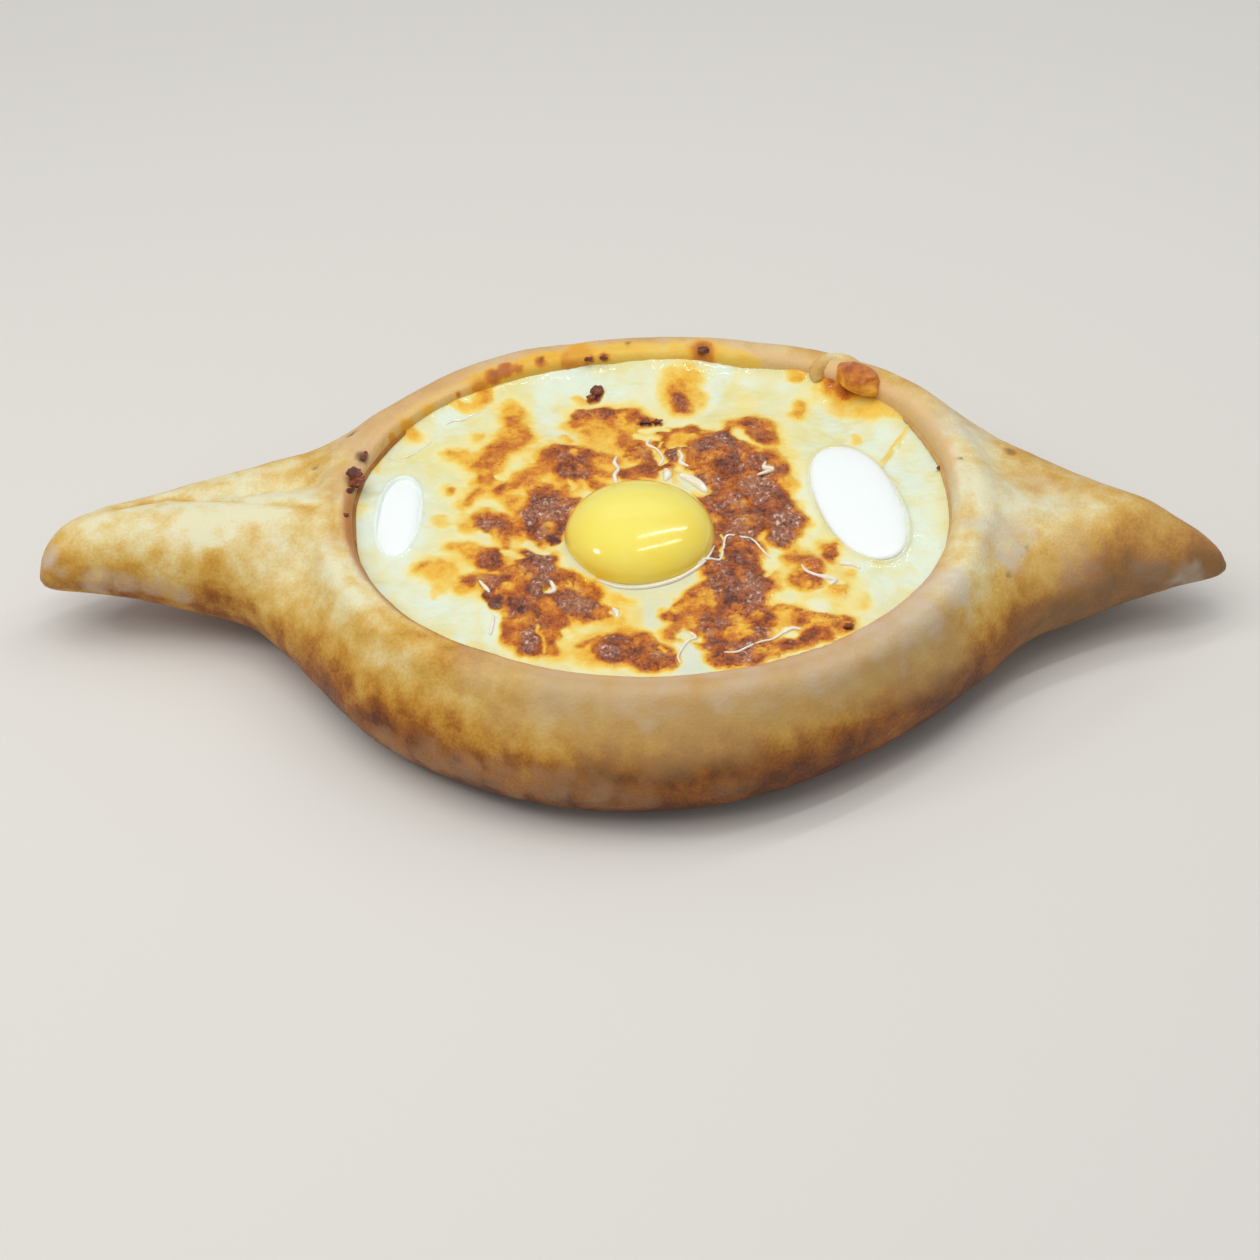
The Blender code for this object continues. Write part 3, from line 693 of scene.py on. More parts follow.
PEACH_PLACES = [
    (-30, 66, 38, 18, 0.9), (-52, 54, 38, 18, 1.0), (-66, 34, 38, 14, 0.9), (0, 70, 38, 18, 0.8),
    (30, 69, 38, 18, 0.7), (56, 60, 38, 16, 0.6), (-70, 10, 37, 9, 0.7), (-68, -10, 37, 7, 0.5),
    (40, -66, 34, 18, 0.3), (10, -72, 34, 20, 0.3), (78, 40, 37, 12, 0.35),
]
FLOUR_PLACES = [
    (-58, -61, 11, 6, 0.7), (-48, -69, 14, 6, 0.8), (-40, -74, 15, 6, 0.8), (-30, -78, 15, 7, 0.85),
    (-20, -81, 15, 7, 0.85), (-10, -83, 14, 7, 0.8), (0, -84, 13, 6, 0.7), (24, -83, 13, 5, 0.35),
    (50, -75, 19, 4, 0.3), (57, -71, 20, 4, 0.3), (104, -30, 8, 6, 0.25),
]
print(len(RUBBED_PLACES), "rubbed places")

# %% Scorched places and splashes
SCORCHED_PLACES = [
    (-80.7, 22.3, 33.1, 1.1, 0.7), (-71.8, 33.2, 35.7, 1.6, 0.9), (99.3, 22.1, 32.3, 1.8, 0.6),
    (84.9, 12.1, 38.4, 1.0, 0.8), (-101.4, -15, 20.1, 1.3, 0.7), (39.9, -78.6, 20.8, 1.2, 0.7),
    (99.4, -17.4, 32.4, 0.9, 0.7), (93.4, -26.7, 31.3, 0.8, 0.6), (89.2, -30.1, 32.6, 0.8, 0.6),
    (1.2, 69.0, 37.2, 0.9, 0.7), (-22.4, 63.6, 36.2, 1.0, 0.7), (-69.5, 12, 36.0, 3.2, 0.75),
    (-67.9, 22.0, 36.0, 2.0, 0.8), (-35.0, 58.5, 35.6, 1.2, 0.4), (21.4, 66.4, 36.0, 2.2, 0.6),
]
WALL_TOAST = [
    (-38.7, 55, 34.2, 3.0, 0.50), (-35.5, 57.5, 35.3, 2.4, 0.62), (-32, 60, 36, 2.2, 0.64),
    (-28.3, 60.7, 35.8, 1.4, 0.62), (-22.4, 63.1, 36.2, 1.6, 0.60), (-12.9, 64.1, 35.6, 4.4, 0.52),
    (-9.7, 64.6, 35.4, 1.5, 0.80), (-5.6, 65.1, 35.6, 1.5, 0.80), (21.4, 66, 35.8, 4.4, 0.54),
    (-44.2, 51.5, 34, 1.0, 0.60), (-12, 67, 37, 4.0, 0.46), (53.5, 60, 35, 2.4, 0.42),
    (-58, 39, 33, 3.4, 0.46), (-62, 34, 33.5, 2.4, 0.50), (-64.5, 30, 34, 1.8, 0.54),
    (-52, 45, 33.5, 2.6, 0.42),
]
print(len(SCORCHED_PLACES), "scorched places and", len(WALL_TOAST), "splashes")

# %% [markdown]
# The back of the inner slope carries splashed cheese that toasted there. The slope above the
# cheese is paler, yellower dough, painted lighter still as painted light that lifts the shade
# under the rim, and the front of the wall under the lip is evenly tanned.

# %% Masks of the crust
def wall_toast(wobble):
    """Cheese splashed up the inner slope: how well it covers each corner, and its toasted tone."""
    left, right = ramp(X, -68, -50), ramp(X, 46, 20)
    reach = -1.0 + 4.0 * left * right + 0.9 * wobble
    cover = ramp(rim_gap, reach + 1.2, reach - 0.6) * ramp(Y, 14, 26) * ramp(Z, 28, 31)
    cover *= blend(0.35, 1.0, ramp(X + 6 * wobble, -48, -36))
    tone = 0.30 + 0.08 * ramp(X, 10, -20) * ramp(X, -50, -36) + 0.05 * wobble
    for x, y, z, radius, spot_tone in WALL_TOAST:
        far = np.linalg.norm(skin_corners / MM - (x, y, z), axis=1) / radius
        share = ramp(far + 0.35 * wobble, 1.25, 0.55)
        tone = blend(tone, spot_tone, share)
        cover = np.maximum(cover, share)
    return cover, tone


def crust_masks():
    """How baked, rubbed, floured, scorched or splashed each corner of the skin is, from 0 to 1, with
    painted shade and light.
    """
    up = skin_normals[:, 2]
    patchy = layered_noise(skin_corners, 14 * MM, 101, 3)
    fine = layered_noise(skin_corners, 4.5 * MM, 111, 2)
    # Darker low down: partly browning from below, partly painted shade.
    baked_and_shade = 0.18 + 0.26 * ramp(Z, 37, 27) + 0.38 * ramp(Z, 30, 18) + 0.14 * ramp(Z, 18, 6)
    # Faces that look up are painted lighter, as painted light; the left horn is paler.
    baked_and_shade -= 0.05 * ramp(up, 0.5, 1.0) + 0.13 * ramp(-X, 66, 84)
    # The top of the front rim is painted darker, as painted shade.
    baked_and_shade += 0.14 * ramp(Y, -34, -52) * ramp(Z, 31, 36)
    baked_and_shade += 0.14 * patchy + 0.07 * fine + 0.05 * np.clip(relief / 0.5, -1, 1)
    # Listed places, and painted shade in the fold under the flap.
    baked_and_shade += summed_spots(skin_corners, BAKED_PLACES, 0.25 * fine) + 0.26 * flap_fold
    # Painted shade in the groove along the lip, and a painted highlight on its ridge.
    baked_and_shade += 0.10 * lip_groove - 0.06 * lip_ridge
    left_lip = ramp(X, -28, -40) * ramp(Y, 14, 2)
    lip = ramp(rim_gap, 3.4 + fine, 1.0) * ramp(Z, 29, 32)
    lip *= blend(0.20, 1.25, left_lip) * ramp(Y, 40, 10)
    rubbed = spots(skin_corners, RUBBED_PLACES, 0.45 * fine)
    peach = spots(skin_corners, PEACH_PLACES, 0.30 * fine) * ramp(Z, 30, 35)
    front_lip = ramp(rim_gap, 5.5 + fine, 1.5) * ramp(Y, -22, -36)
    front_lip *= ramp(X, -40, -20) * ramp(Z, 30, 33)
    peach = np.maximum(peach, 1.2 * front_lip)
    # Pale dough on the inner slope, painted lighter still as painted light that lifts the shade under
    # the rim.
    inner_wall_painted_light = ramp(rim_gap, 4.0 + fine, 1.0) * ramp(Y, -6, 14) * ramp(Z, 27, 30)
    tanned = ramp(X + 8 * fine, -48, -14) * ramp(X, 96, 74)
    tanned *= ramp(Y, -36, -50) * ramp(Z + 5 * patchy, 16, 31)
    tanned = np.maximum(tanned, 0.45 * ramp(X + 5 * patchy, 86, 104) * ramp(Z, 34, 29))
    flour = spots(skin_corners, FLOUR_PLACES, 0.45 * fine)
    scorched = spots(skin_corners, SCORCHED_PLACES, 0.30 * fine)
    splash, splash_tone = wall_toast(soft_noise(skin_corners, 3.0 * MM, 121))
    return {
        "baked_and_shade": np.clip(baked_and_shade, 0, 1), "lip": lip, "rubbed": rubbed, "tanned": tanned,
        "peach": peach, "inner_wall_painted_light": inner_wall_painted_light, "flour": flour, "scorched": scorched,
        "splash": splash, "splash_tone": splash_tone,
    }


crust = make_piece("crust_skin", skin_corners, skin_quads)
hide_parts("crust")
for mask_name, mask in crust_masks().items():
    add_mask(crust, mask_name, mask)
    print(f"{mask_name:11s} mean {mask.mean():.2f}")

# %% [markdown]
# ## Node helpers
# Materials are node graphs. Small helpers keep the cells short: one reads a mask, one mixes
# two colours by a share, and one makes a ramp of colour stops. Effects that more than one
# material uses become groups with named inputs and outputs.

# %% Node helpers
def new_material(name):
    """A material with its node tree and its Principled shader."""
    material = bpy.data.materials.new(name)
    material.use_nodes = True
    tree = material.node_tree
    return material, tree, tree.nodes["Principled BSDF"]


def mask_node(tree, name):
    """Reads a mask of the mesh by its name."""
    node = tree.nodes.new("ShaderNodeAttribute")
    node.attribute_name = name
    return node.outputs["Fac"]


def feed(tree, socket, value):
    """Links an output to a socket, or sets the socket where the value is plain."""
    if isinstance(value, bpy.types.NodeSocket):
        tree.links.new(value, socket)
    else:
        socket.default_value = value


def mix_color(tree, share, first, second):
    node = tree.nodes.new("ShaderNodeMix")
    node.data_type = "RGBA"
    for index, value in ((0, share), (6, first), (7, second)):
        feed(tree, node.inputs[index], value)
    return node.outputs[2]


def math_node(tree, operation, first, second=0.0, third=0.0):
    node = tree.nodes.new("ShaderNodeMath")
    node.operation = operation
    for socket, value in zip(node.inputs, (first, second, third)):
        feed(tree, socket, value)
    return node.outputs[0]


def times(tree, first, second):
    return math_node(tree, "MULTIPLY", first, second)


def map_range(tree, value, low, high, to_low, to_high):
    node = tree.nodes.new("ShaderNodeMapRange")
    for socket, item in zip(node.inputs, (value, low, high, to_low, to_high)):
        feed(tree, socket, item)
    return node.outputs[0]


def color_ramp(tree, value, stops):
    """Colour at a value, from stops of (place, colour) in order."""
    node = tree.nodes.new("ShaderNodeValToRGB")
    feed(tree, node.inputs[0], value)
    points = node.color_ramp.elements
    while len(points) < len(stops):
        points.new(0.5)
    for point, (place, color) in zip(points, stops):
        point.position = place
        point.color = color
    return node.outputs[0]


print("mixing and math helpers ready")

# %% Group, socket and bump helpers
def new_group(name, inputs, outputs):
    """A shader group with named number inputs and named outputs."""
    tree = bpy.data.node_groups.new(name, "ShaderNodeTree")
    for label, value in inputs.items():
        socket = tree.interface.new_socket(label, in_out="INPUT", socket_type="NodeSocketFloat")
        socket.default_value = value
    for label, kind in outputs.items():
        tree.interface.new_socket(label, in_out="OUTPUT", socket_type=kind)
    return tree, tree.nodes.new("NodeGroupInput").outputs, tree.nodes.new("NodeGroupOutput").inputs


def set_sockets(shader, values):
    """Sets values that are the same all over the surface on the shader's own sockets."""
    for name, value in values.items():
        shader.inputs[name].default_value = value


def place_group(tree, group, **values):
    """Puts a shared group into a material; underscores in the names stand for spaces."""
    node = tree.nodes.new("ShaderNodeGroup")
    node.node_tree = group
    for label, value in values.items():
        feed(tree, node.inputs[label.replace("_", " ")], value)
    return node.outputs


def add_bump(tree, shader, height, strength, distance):
    """Fine relief in the shading alone, for grain too small for mesh."""
    bump = tree.nodes.new("ShaderNodeBump")
    bump.inputs["Strength"].default_value = strength
    bump.inputs["Distance"].default_value = distance
    tree.links.new(height, bump.inputs["Height"])
    tree.links.new(bump.outputs["Normal"], shader.inputs["Normal"])


print("materials so far:", [material.name for material in bpy.data.materials])

# %% [markdown]
# ## Two shared groups
# "Fine speckle" gives a mask and a height from one noise in the object's own frame. "Toasted
# cheese" gives the colour of cheese at any tone: pale, butter yellow, orange, rust, brown and
# almost black. Milk whitens the pale part, and a purple speckle, a painted sheen of reflected
# light, cools the brown part, as on blisters. Small dark pits of painted shade and light glints
# of painted highlight break up the brown.

# %% Shared groups
TOAST_TONES = [
    (0.00, paint(240, 238, 206)),
    (0.14, paint(241, 228, 150)),
    (0.28, paint(242, 206, 92)),
    (0.42, paint(240, 180, 36)),
    (0.53, paint(212, 124, 8)),
    (0.64, paint(184, 92, 10)),
    (0.75, paint(146, 70, 18)),
    (0.86, paint(104, 48, 32)),
    (1.00, paint(50, 20, 14)),
]
MILKY, BUTTERY = paint(228, 240, 220), paint(232, 224, 156)
# The deep purple is brown; the light purple is a painted sheen of reflected light.
PURPLE_DEEP, PAINTED_SHEEN = paint(122, 62, 38), paint(190, 136, 108)
# The pitted brown is painted shade in small pits, and the glint a painted highlight.
PAINTED_PIT_SHADE, PAINTED_GLINT = paint(78, 34, 18), paint(236, 216, 208)


def speckle_group():
    """A mask and a height from one noise."""
    tree, given, out = new_group(
        "fine speckle",
        {"grain per metre": 400.0, "detail": 3.0, "from": 0.35, "to": 0.65},
        {"mask": "NodeSocketFloat", "height": "NodeSocketFloat"},
    )
    where = tree.nodes.new("ShaderNodeTexCoord")
    noise = tree.nodes.new("ShaderNodeTexNoise")
    tree.links.new(where.outputs["Object"], noise.inputs["Vector"])
    tree.links.new(given["grain per metre"], noise.inputs["Scale"])
    tree.links.new(given["detail"], noise.inputs["Detail"])
    spread = map_range(tree, noise.outputs["Fac"], given["from"], given["to"], 0.0, 1.0)
    tree.links.new(spread, out["mask"])
    tree.links.new(noise.outputs["Fac"], out["height"])
    return tree


def toast_group():
    """The colour of cheese at a tone, with milk, a painted sheen, painted shade in pits and painted
    glints.
    """
    tree, given, out = new_group(
        "toasted cheese",
        {"tone": 0.3, "milk": 0.5, "purple": 0.0, "speckle": 0.5, "glint": 0.5},
        {"color": "NodeSocketColor"},
    )
    toasted = color_ramp(tree, given["tone"], TOAST_TONES)
    pale = mix_color(tree, given["milk"], BUTTERY, MILKY)
    color = mix_color(tree, map_range(tree, given["tone"], 0.02, 0.16, 1.0, 0.0), toasted, pale)
    # A painted sheen: speckles of reflected light on the brown, where the mask says.
    purple = mix_color(tree, given["speckle"], PURPLE_DEEP, PAINTED_SHEEN)
    color = mix_color(tree, times(tree, given["purple"], 0.8), color, purple)
    brown = map_range(tree, given["tone"], 0.52, 0.66, 0.0, 1.0)
    # Painted shade in small pits where the noise is low, and painted highlights as glints where it is
    # high.
    pit_shade = times(tree, brown, map_range(tree, given["glint"], 0.46, 0.34, 0.0, 0.6))
    color = mix_color(tree, pit_shade, color, PAINTED_PIT_SHADE)
    glints = times(tree, given["purple"], map_range(tree, given["glint"], 0.58, 0.70, 0.0, 0.8))
    color = mix_color(tree, glints, color, PAINTED_GLINT)
    tree.links.new(color, out["color"])
    return tree


SPECKLE = speckle_group()
TOAST = toast_group()
print("groups:", [g.name for g in bpy.data.node_groups])

# %% Short cuts for the finishes
def speckle(tree, grain, detail):
    """The shared fine speckle, at so many grains to a metre."""
    return place_group(tree, SPECKLE, grain_per_metre=grain, detail=detail)


def swing(tree, mask, size):
    """A mask turned into small steps up and down about nought."""
    return times(tree, math_node(tree, "SUBTRACT", mask, 0.5), size)


def two_grains(tree, coarse, fine, share):
    """Height of a coarse and a fine grain together."""
    return math_node(tree, "MULTIPLY_ADD", coarse["height"], share, fine["height"])


def vary_roughness(tree, shader, mask, shiny, dull):
    feed(tree, shader.inputs["Roughness"], map_range(tree, mask, 0.0, 1.0, shiny, dull))


def dress(piece, material, masks):
    """Gives a piece its material and the masks that the material reads."""
    for name, values in masks.items():
        add_mask(piece, name, values)
    piece.data.materials.append(material)


print("short cuts ready")

# %% [markdown]
# ## Crust finish
# Baked dough runs from cream through straw and gold to brown. The baked mask picks the tone,
# painted shade and light included, with fine speckle added so that the change is never a clean
# line. Stains are mixed over it in turn: tanned and peach dough, the inner wall, pale dough painted
# paler still as painted light, rubbed and floured places, and the orange-brown lip. Splashes of
# cheese on the inner slope take the cheese's own colours.

# %% Crust material
CRUST_TONES = [
    (0.00, paint(229, 223, 186)),
    (0.15, paint(226, 205, 146)),
    (0.35, paint(214, 174, 90)),
    (0.55, paint(196, 142, 50)),
    (0.75, paint(158, 92, 16)),
    (1.00, paint(100, 50, 12)),
]
# The inner wall colour is pale dough with painted light in it.
TANNED, PEACH, INNER_WALL_PAINTED_LIGHT = paint(190, 154, 100), paint(208, 164, 116), paint(228, 190, 138)
RUBBED, FLOURED, LIP = paint(206, 193, 176), paint(196, 156, 112), paint(184, 120, 62)
SCORCHED = paint(104, 52, 22)


def crust_material():
    material, tree, shader = new_material("baked_dough")
    coarse = speckle(tree, 210.0, 6.0)
    fine = speckle(tree, 1300.0, 3.0)
    # The baked mask carries painted shade and painted light as well as browning.
    speckled = math_node(tree, "MULTIPLY_ADD", coarse["mask"], 0.18, mask_node(tree, "baked_and_shade"))
    centred = math_node(tree, "SUBTRACT", speckled, 0.135)
    tone = math_node(tree, "MULTIPLY_ADD", fine["mask"], 0.09, centred)
    color = color_ramp(tree, tone, CRUST_TONES)
    broken = map_range(tree, coarse["mask"], 0.0, 1.0, 0.40, 0.95)
    stains = [
        ("tanned", 0.75, TANNED), ("peach", 0.75, PEACH), ("inner_wall_painted_light", 0.85, INNER_WALL_PAINTED_LIGHT),
        ("rubbed", broken, RUBBED), ("flour", times(tree, broken, 0.6), FLOURED), ("lip", 0.75, LIP),
    ]
    for mask_name, share, stain in stains:
        color = mix_color(tree, times(tree, mask_node(tree, mask_name), share), color, stain)
    splash_tone = mask_node(tree, "splash_tone")
    splash = place_group(tree, TOAST, tone=splash_tone, milk=0.2, speckle=fine["mask"])
    color = mix_color(tree, times(tree, mask_node(tree, "splash"), 0.85), color, splash["color"])
    color = mix_color(tree, mask_node(tree, "scorched"), color, SCORCHED)
    feed(tree, shader.inputs["Base Color"], color)
    vary_roughness(tree, shader, fine["mask"], 0.40, 0.54)
    set_sockets(shader, {"Specular IOR Level": 0.30})
    height = two_grains(tree, coarse, fine, 2.0)
    add_bump(tree, shader, height, strength=0.34, distance=0.0005)
    return material


dough = crust_material()
crust.data.materials.append(dough)
print("crust finish:", len(crust.data.materials[0].node_tree.nodes), "nodes")

# %% [markdown]
# ## Cheese
# Molten cheese fills the opening to a little below the rim. Its top is a sheet of height
# values on an even grid, cut to the opening. How it browned is painted on, in the order in
# which it happens in the oven: a soft yellow glow first, then gold and orange, then rust and
# brown where the cheese blistered. Wet pale gaps open in it, and some pale spots are painted
# highlights where glints fall. A faint golden line along the front wall and the few burnt specks
# come last.

# %% The cheese grid
CHEESE_LEVEL, CHEESE_WAVE = 0.0305, 0.0007
CHEESE_RISE_AT_WALL, CHEESE_MORE_AT_BACK, CHEESE_RISE_WIDTH = 0.0011, 0.0016, 0.0040
CHEESE_STEP = 0.00042
CHEESE_REACH = 0.0006
CHEESE_PLAN = ((-0.074, 0.086), (-0.066, 0.070))


def cheese_grid(step):
    """Grid corners in plan and quads, kept where the cheese is."""
    xs, ys = (np.arange(low, high, step) for low, high in CHEESE_PLAN)
    px, py = np.meshgrid(xs, ys, indexing="ij")
    s, _ = plan_distance(px, py)
    number = np.arange(px.size).reshape(px.shape)
    within = s < CHEESE_REACH
    keep = within[:-1, :-1] & within[1:, :-1] & within[:-1, 1:] & within[1:, 1:]
    around = (number[:-1, :-1], number[1:, :-1], number[1:, 1:], number[:-1, 1:])
    used, quads = np.unique(np.stack([n[keep] for n in around], axis=1), return_inverse=True)
    return np.stack([px.ravel()[used], py.ravel()[used]], axis=1), quads.reshape(-1, 4)


plan, cheese_quads = cheese_grid(CHEESE_STEP)
wall_gap, _ = plan_distance(plan[:, 0], plan[:, 1])
here = np.column_stack([plan - DRAWN_SHIFT, np.zeros(len(plan))])
across, back = here[:, 0] / MM, here[:, 1] / MM
print("cheese grid:", len(plan), "corners,", 2 * len(cheese_quads), "triangles on top")

# %% [markdown]
# Every row below is one dab of browning, like a stroke of a brush: where it starts and ends, how
# wide it is at either end, and its tone from 0 (pale) to 1 (burnt). Millimetres, seen from
# above. The last two lists are not tones but strengths: where the pale cheese is milky, and
# where a film of egg white covers it.

# %% Golden dabs
GOLDEN_DABS = [
    (-31, 51, -30, 46, 4, 5, 0.30), (-39, 36, -39, 35, 7, 7, 0.20),
    (-39, 36.5, -39, 35, 2.5, 2.5, 0.36), (-58, 38, -55.5, 37, 6, 6, 0.26),
    (-57, 38.5, -56, 37.5, 3, 3, 0.38), (-64, 33, -65, 22, 3, 3, 0.18), (-68, 6, -68, 4, 4, 4, 0.16),
    (-46, 50, -40, 48.5, 3, 5, 0.34), (-38, 52, -38, 59, 5, 6, 0.44),
    (-46, 16, -46, 14, 4.5, 4.5, 0.24), (-45.5, 15, -45.5, 13.5, 1.8, 1.8, 0.46),
    (-48, 2, -47, 0, 5, 4, 0.30), (-28, 30, -22, 29, 4, 5, 0.24), (-13, 53, -11.5, 51.5, 3, 3, 0.32),
    (-16, 35, -15, 33, 3, 3, 0.38), (-9, 34, -8, 28, 6, 5, 0.42), (-5, 35, -3, 32, 6, 6, 0.40),
    (-36, 4, -34, 2, 5, 5, 0.44), (15, 52, 16, 60, 10, 8, 0.38), (45.5, 43, 47, 48, 6, 5, 0.26),
    (45.3, 43, 46.8, 48, 3, 2.2, 0.44), (45.5, 63, 46.5, 58.5, 4, 4, 0.44),
    (53.5, 63, 52.5, 58, 3.5, 4, 0.40), (60, 47, 66, 43, 11, 8, 0.32), (64, 45, 71, 41, 7, 4, 0.30),
    (70, 46, 70.5, 44, 2.5, 2.5, 0.46), (68, 43, 73, 39, 3, 2, 0.28), (60, 32.5, 60, 30.5, 3, 3, 0.26),
    (42, 28, 42.5, 25, 4.5, 4.5, 0.18), (32, 51, 30, 43, 6, 6, 0.14), (76, 38, 71, 30, 1.2, 1.2, 0.26),
    (71, 30, 66, 21, 1.2, 1.4, 0.28), (66, 21, 66, 16, 1, 1, 0.18), (66, 16, 69, 11, 1, 1, 0.14),
    (78, 30, 81, 20, 1.2, 1.2, 0.28), (-47.5, -18, -46, -18, 9, 8, 0.30),
    (-46.5, -22, -46.5, -26, 5, 3.5, 0.30), (-48, -27, -48, -28.5, 2, 1.6, 0.26),
    (-41.5, -3, -40, -1.5, 3.5, 4, 0.36), (-41, -25, -40, -24, 4, 5, 0.40),
    (-28, 4, -28, 0, 5, 5, 0.42), (-18, -52, -18, -50, 6, 6, 0.28), (-10, -48, -10, -54, 8, 8, 0.38),
    (-3, -41, -1, -45, 8, 6, 0.40), (-4, -30, -1, -33, 5, 6, 0.30), (1, -36, 1, -42, 4, 4, 0.20),
    (8, -38, 7.5, -36.5, 4, 3, 0.36), (36, -25, 36, -29, 5, 4, 0.34), (56, -35, 56, -33, 5, 5, 0.28),
    (54, -26, 53.5, -23, 4, 4, 0.38), (36, -42, 38, -40, 8, 7, 0.40), (41, -14, 44, -17, 5, 6, 0.42),
    (50, -36, 56, -28, 8, 6, 0.14), (9, -45, 9, -47, 4, 3, 0.40), (39.5, 17, 41.5, 13, 4, 4, 0.42),
    (28, 28, 33, 24, 8, 8, 0.30), (12, 23, 12, 17, 8, 6, 0.28), (22, 14, 36, 12, 8, 8, 0.30),
    (46, -20, 52, -20, 8, 6, 0.18), (44, -34, 50, -36, 5, 5, 0.20), (-26, -10, -30, -14, 5, 5, 0.26),
]
print(len(GOLDEN_DABS), "golden dabs")

# %% Orange dabs
ORANGE_DABS = [
    (-30.5, 48, -29, 43, 3.5, 4.5, 0.42), (-29, 43, -27.5, 37, 4.5, 5.5, 0.48),
    (-27.5, 37, -32, 31, 5.5, 5.5, 0.50), (-32, 31, -36, 25, 6, 7, 0.53),
    (-46, 29, -38, 26, 1.5, 5, 0.44), (-36, 25, -36.5, 19, 6, 4.5, 0.53),
    (-36, 18, -37, 14, 4, 4, 0.48), (-38, 14, -41, 8.5, 3.2, 1.8, 0.48), (-36, 14, -32, 13, 4, 4, 0.43),
    (-32, 14, -25, 19.5, 3.6, 3.6, 0.52), (-28, 18, -20, 22, 4, 4.5, 0.48),
    (-20, 28, -17, 22, 5, 6, 0.52), (-19, 26, -12, 21, 9, 9, 0.54), (-17, 17, -13, 14, 3, 3, 0.46),
    (-9, 17, -6, 13.5, 3, 3, 0.58), (-10, 23, -6, 19, 6, 5, 0.50), (-12, 45, 1, 45, 3, 4, 0.54),
    (-12, 42, 4, 41.5, 5, 5, 0.50), (-8, 38, 2, 37, 6, 6, 0.46), (-10, 27, -4, 26, 6, 6, 0.50),
    (1, 33, 4, 29, 6, 6, 0.52), (-30, 10, -27, 4, 4, 4, 0.44), (-24, 14, -17, 12, 5, 6, 0.52),
    (15, 50, 15.5, 58, 6, 6, 0.46), (14.5, 50, 15, 47, 4.5, 4, 0.52), (56, 56, 66, 52, 6, 6, 0.48),
    (58, 53, 67, 53, 8, 8, 0.52), (27, 34, 28, 38, 3, 3.4, 0.46), (28, 38, 33, 40.5, 3.4, 3, 0.48),
    (33, 40, 37, 38, 4, 4, 0.50), (36, 38, 37, 32, 4.5, 4.5, 0.50), (37, 25, 38.5, 18, 6, 4, 0.52),
    (38.5, 18, 41, 13, 4, 3, 0.46), (40, 9, 43.5, -1, 3.2, 2.4, 0.50),
    (40, -8, 38.5, -12, 3.6, 3, 0.46), (43, -19, 44, -23, 8, 7, 0.52),
    (50, -13, 49.8, -18, 3.6, 3.6, 0.53), (51, -28, 51, -31, 3.4, 3.2, 0.50),
    (21.8, -19, 21.5, -24, 3, 3.5, 0.48), (11.5, -41, 10.5, -45, 3.6, 3.6, 0.50),
    (40, -41, 50, -43, 6, 6, 0.47), (34, -36.2, 41, -37.6, 2, 2, 0.54), (-39, 2.5, -34, 1, 4, 5, 0.46),
    (-31.5, -6, -31, -11, 3, 1.6, 0.50), (-44, -9, -40, -10.5, 2.5, 3, 0.42),
    (-39.5, -12, -35, -14.5, 5, 6, 0.50), (-33, -17, -32.3, -19, 2, 1.6, 0.44),
    (-50, -17.5, -45.5, -17, 4, 4, 0.46), (-48, -19, -46, -20, 3, 3, 0.42),
    (-38, -23, -35, -25, 6, 6, 0.52), (-27, -20, -26.5, -30, 3, 3, 0.48),
    (-19.5, -34, -18.5, -37, 4.5, 4.5, 0.46), (-16, -37.3, -7, -38.3, 2.2, 2.2, 0.48),
    (-28.5, -37, -27, -47, 3, 3, 0.50), (-12.5, -48.5, -8, -47, 2, 2.4, 0.52),
    (-1, -44, 0.5, -46, 4, 4, 0.44), (-24, 2, -26, -4, 6, 6, 0.52), (0, 20, 9, 20, 5, 4.5, 0.54),
    (18, 24, 17, 28, 5, 5, 0.54), (19, 34, 21, 35.5, 4, 3, 0.52),
]
print(len(ORANGE_DABS), "orange dabs")

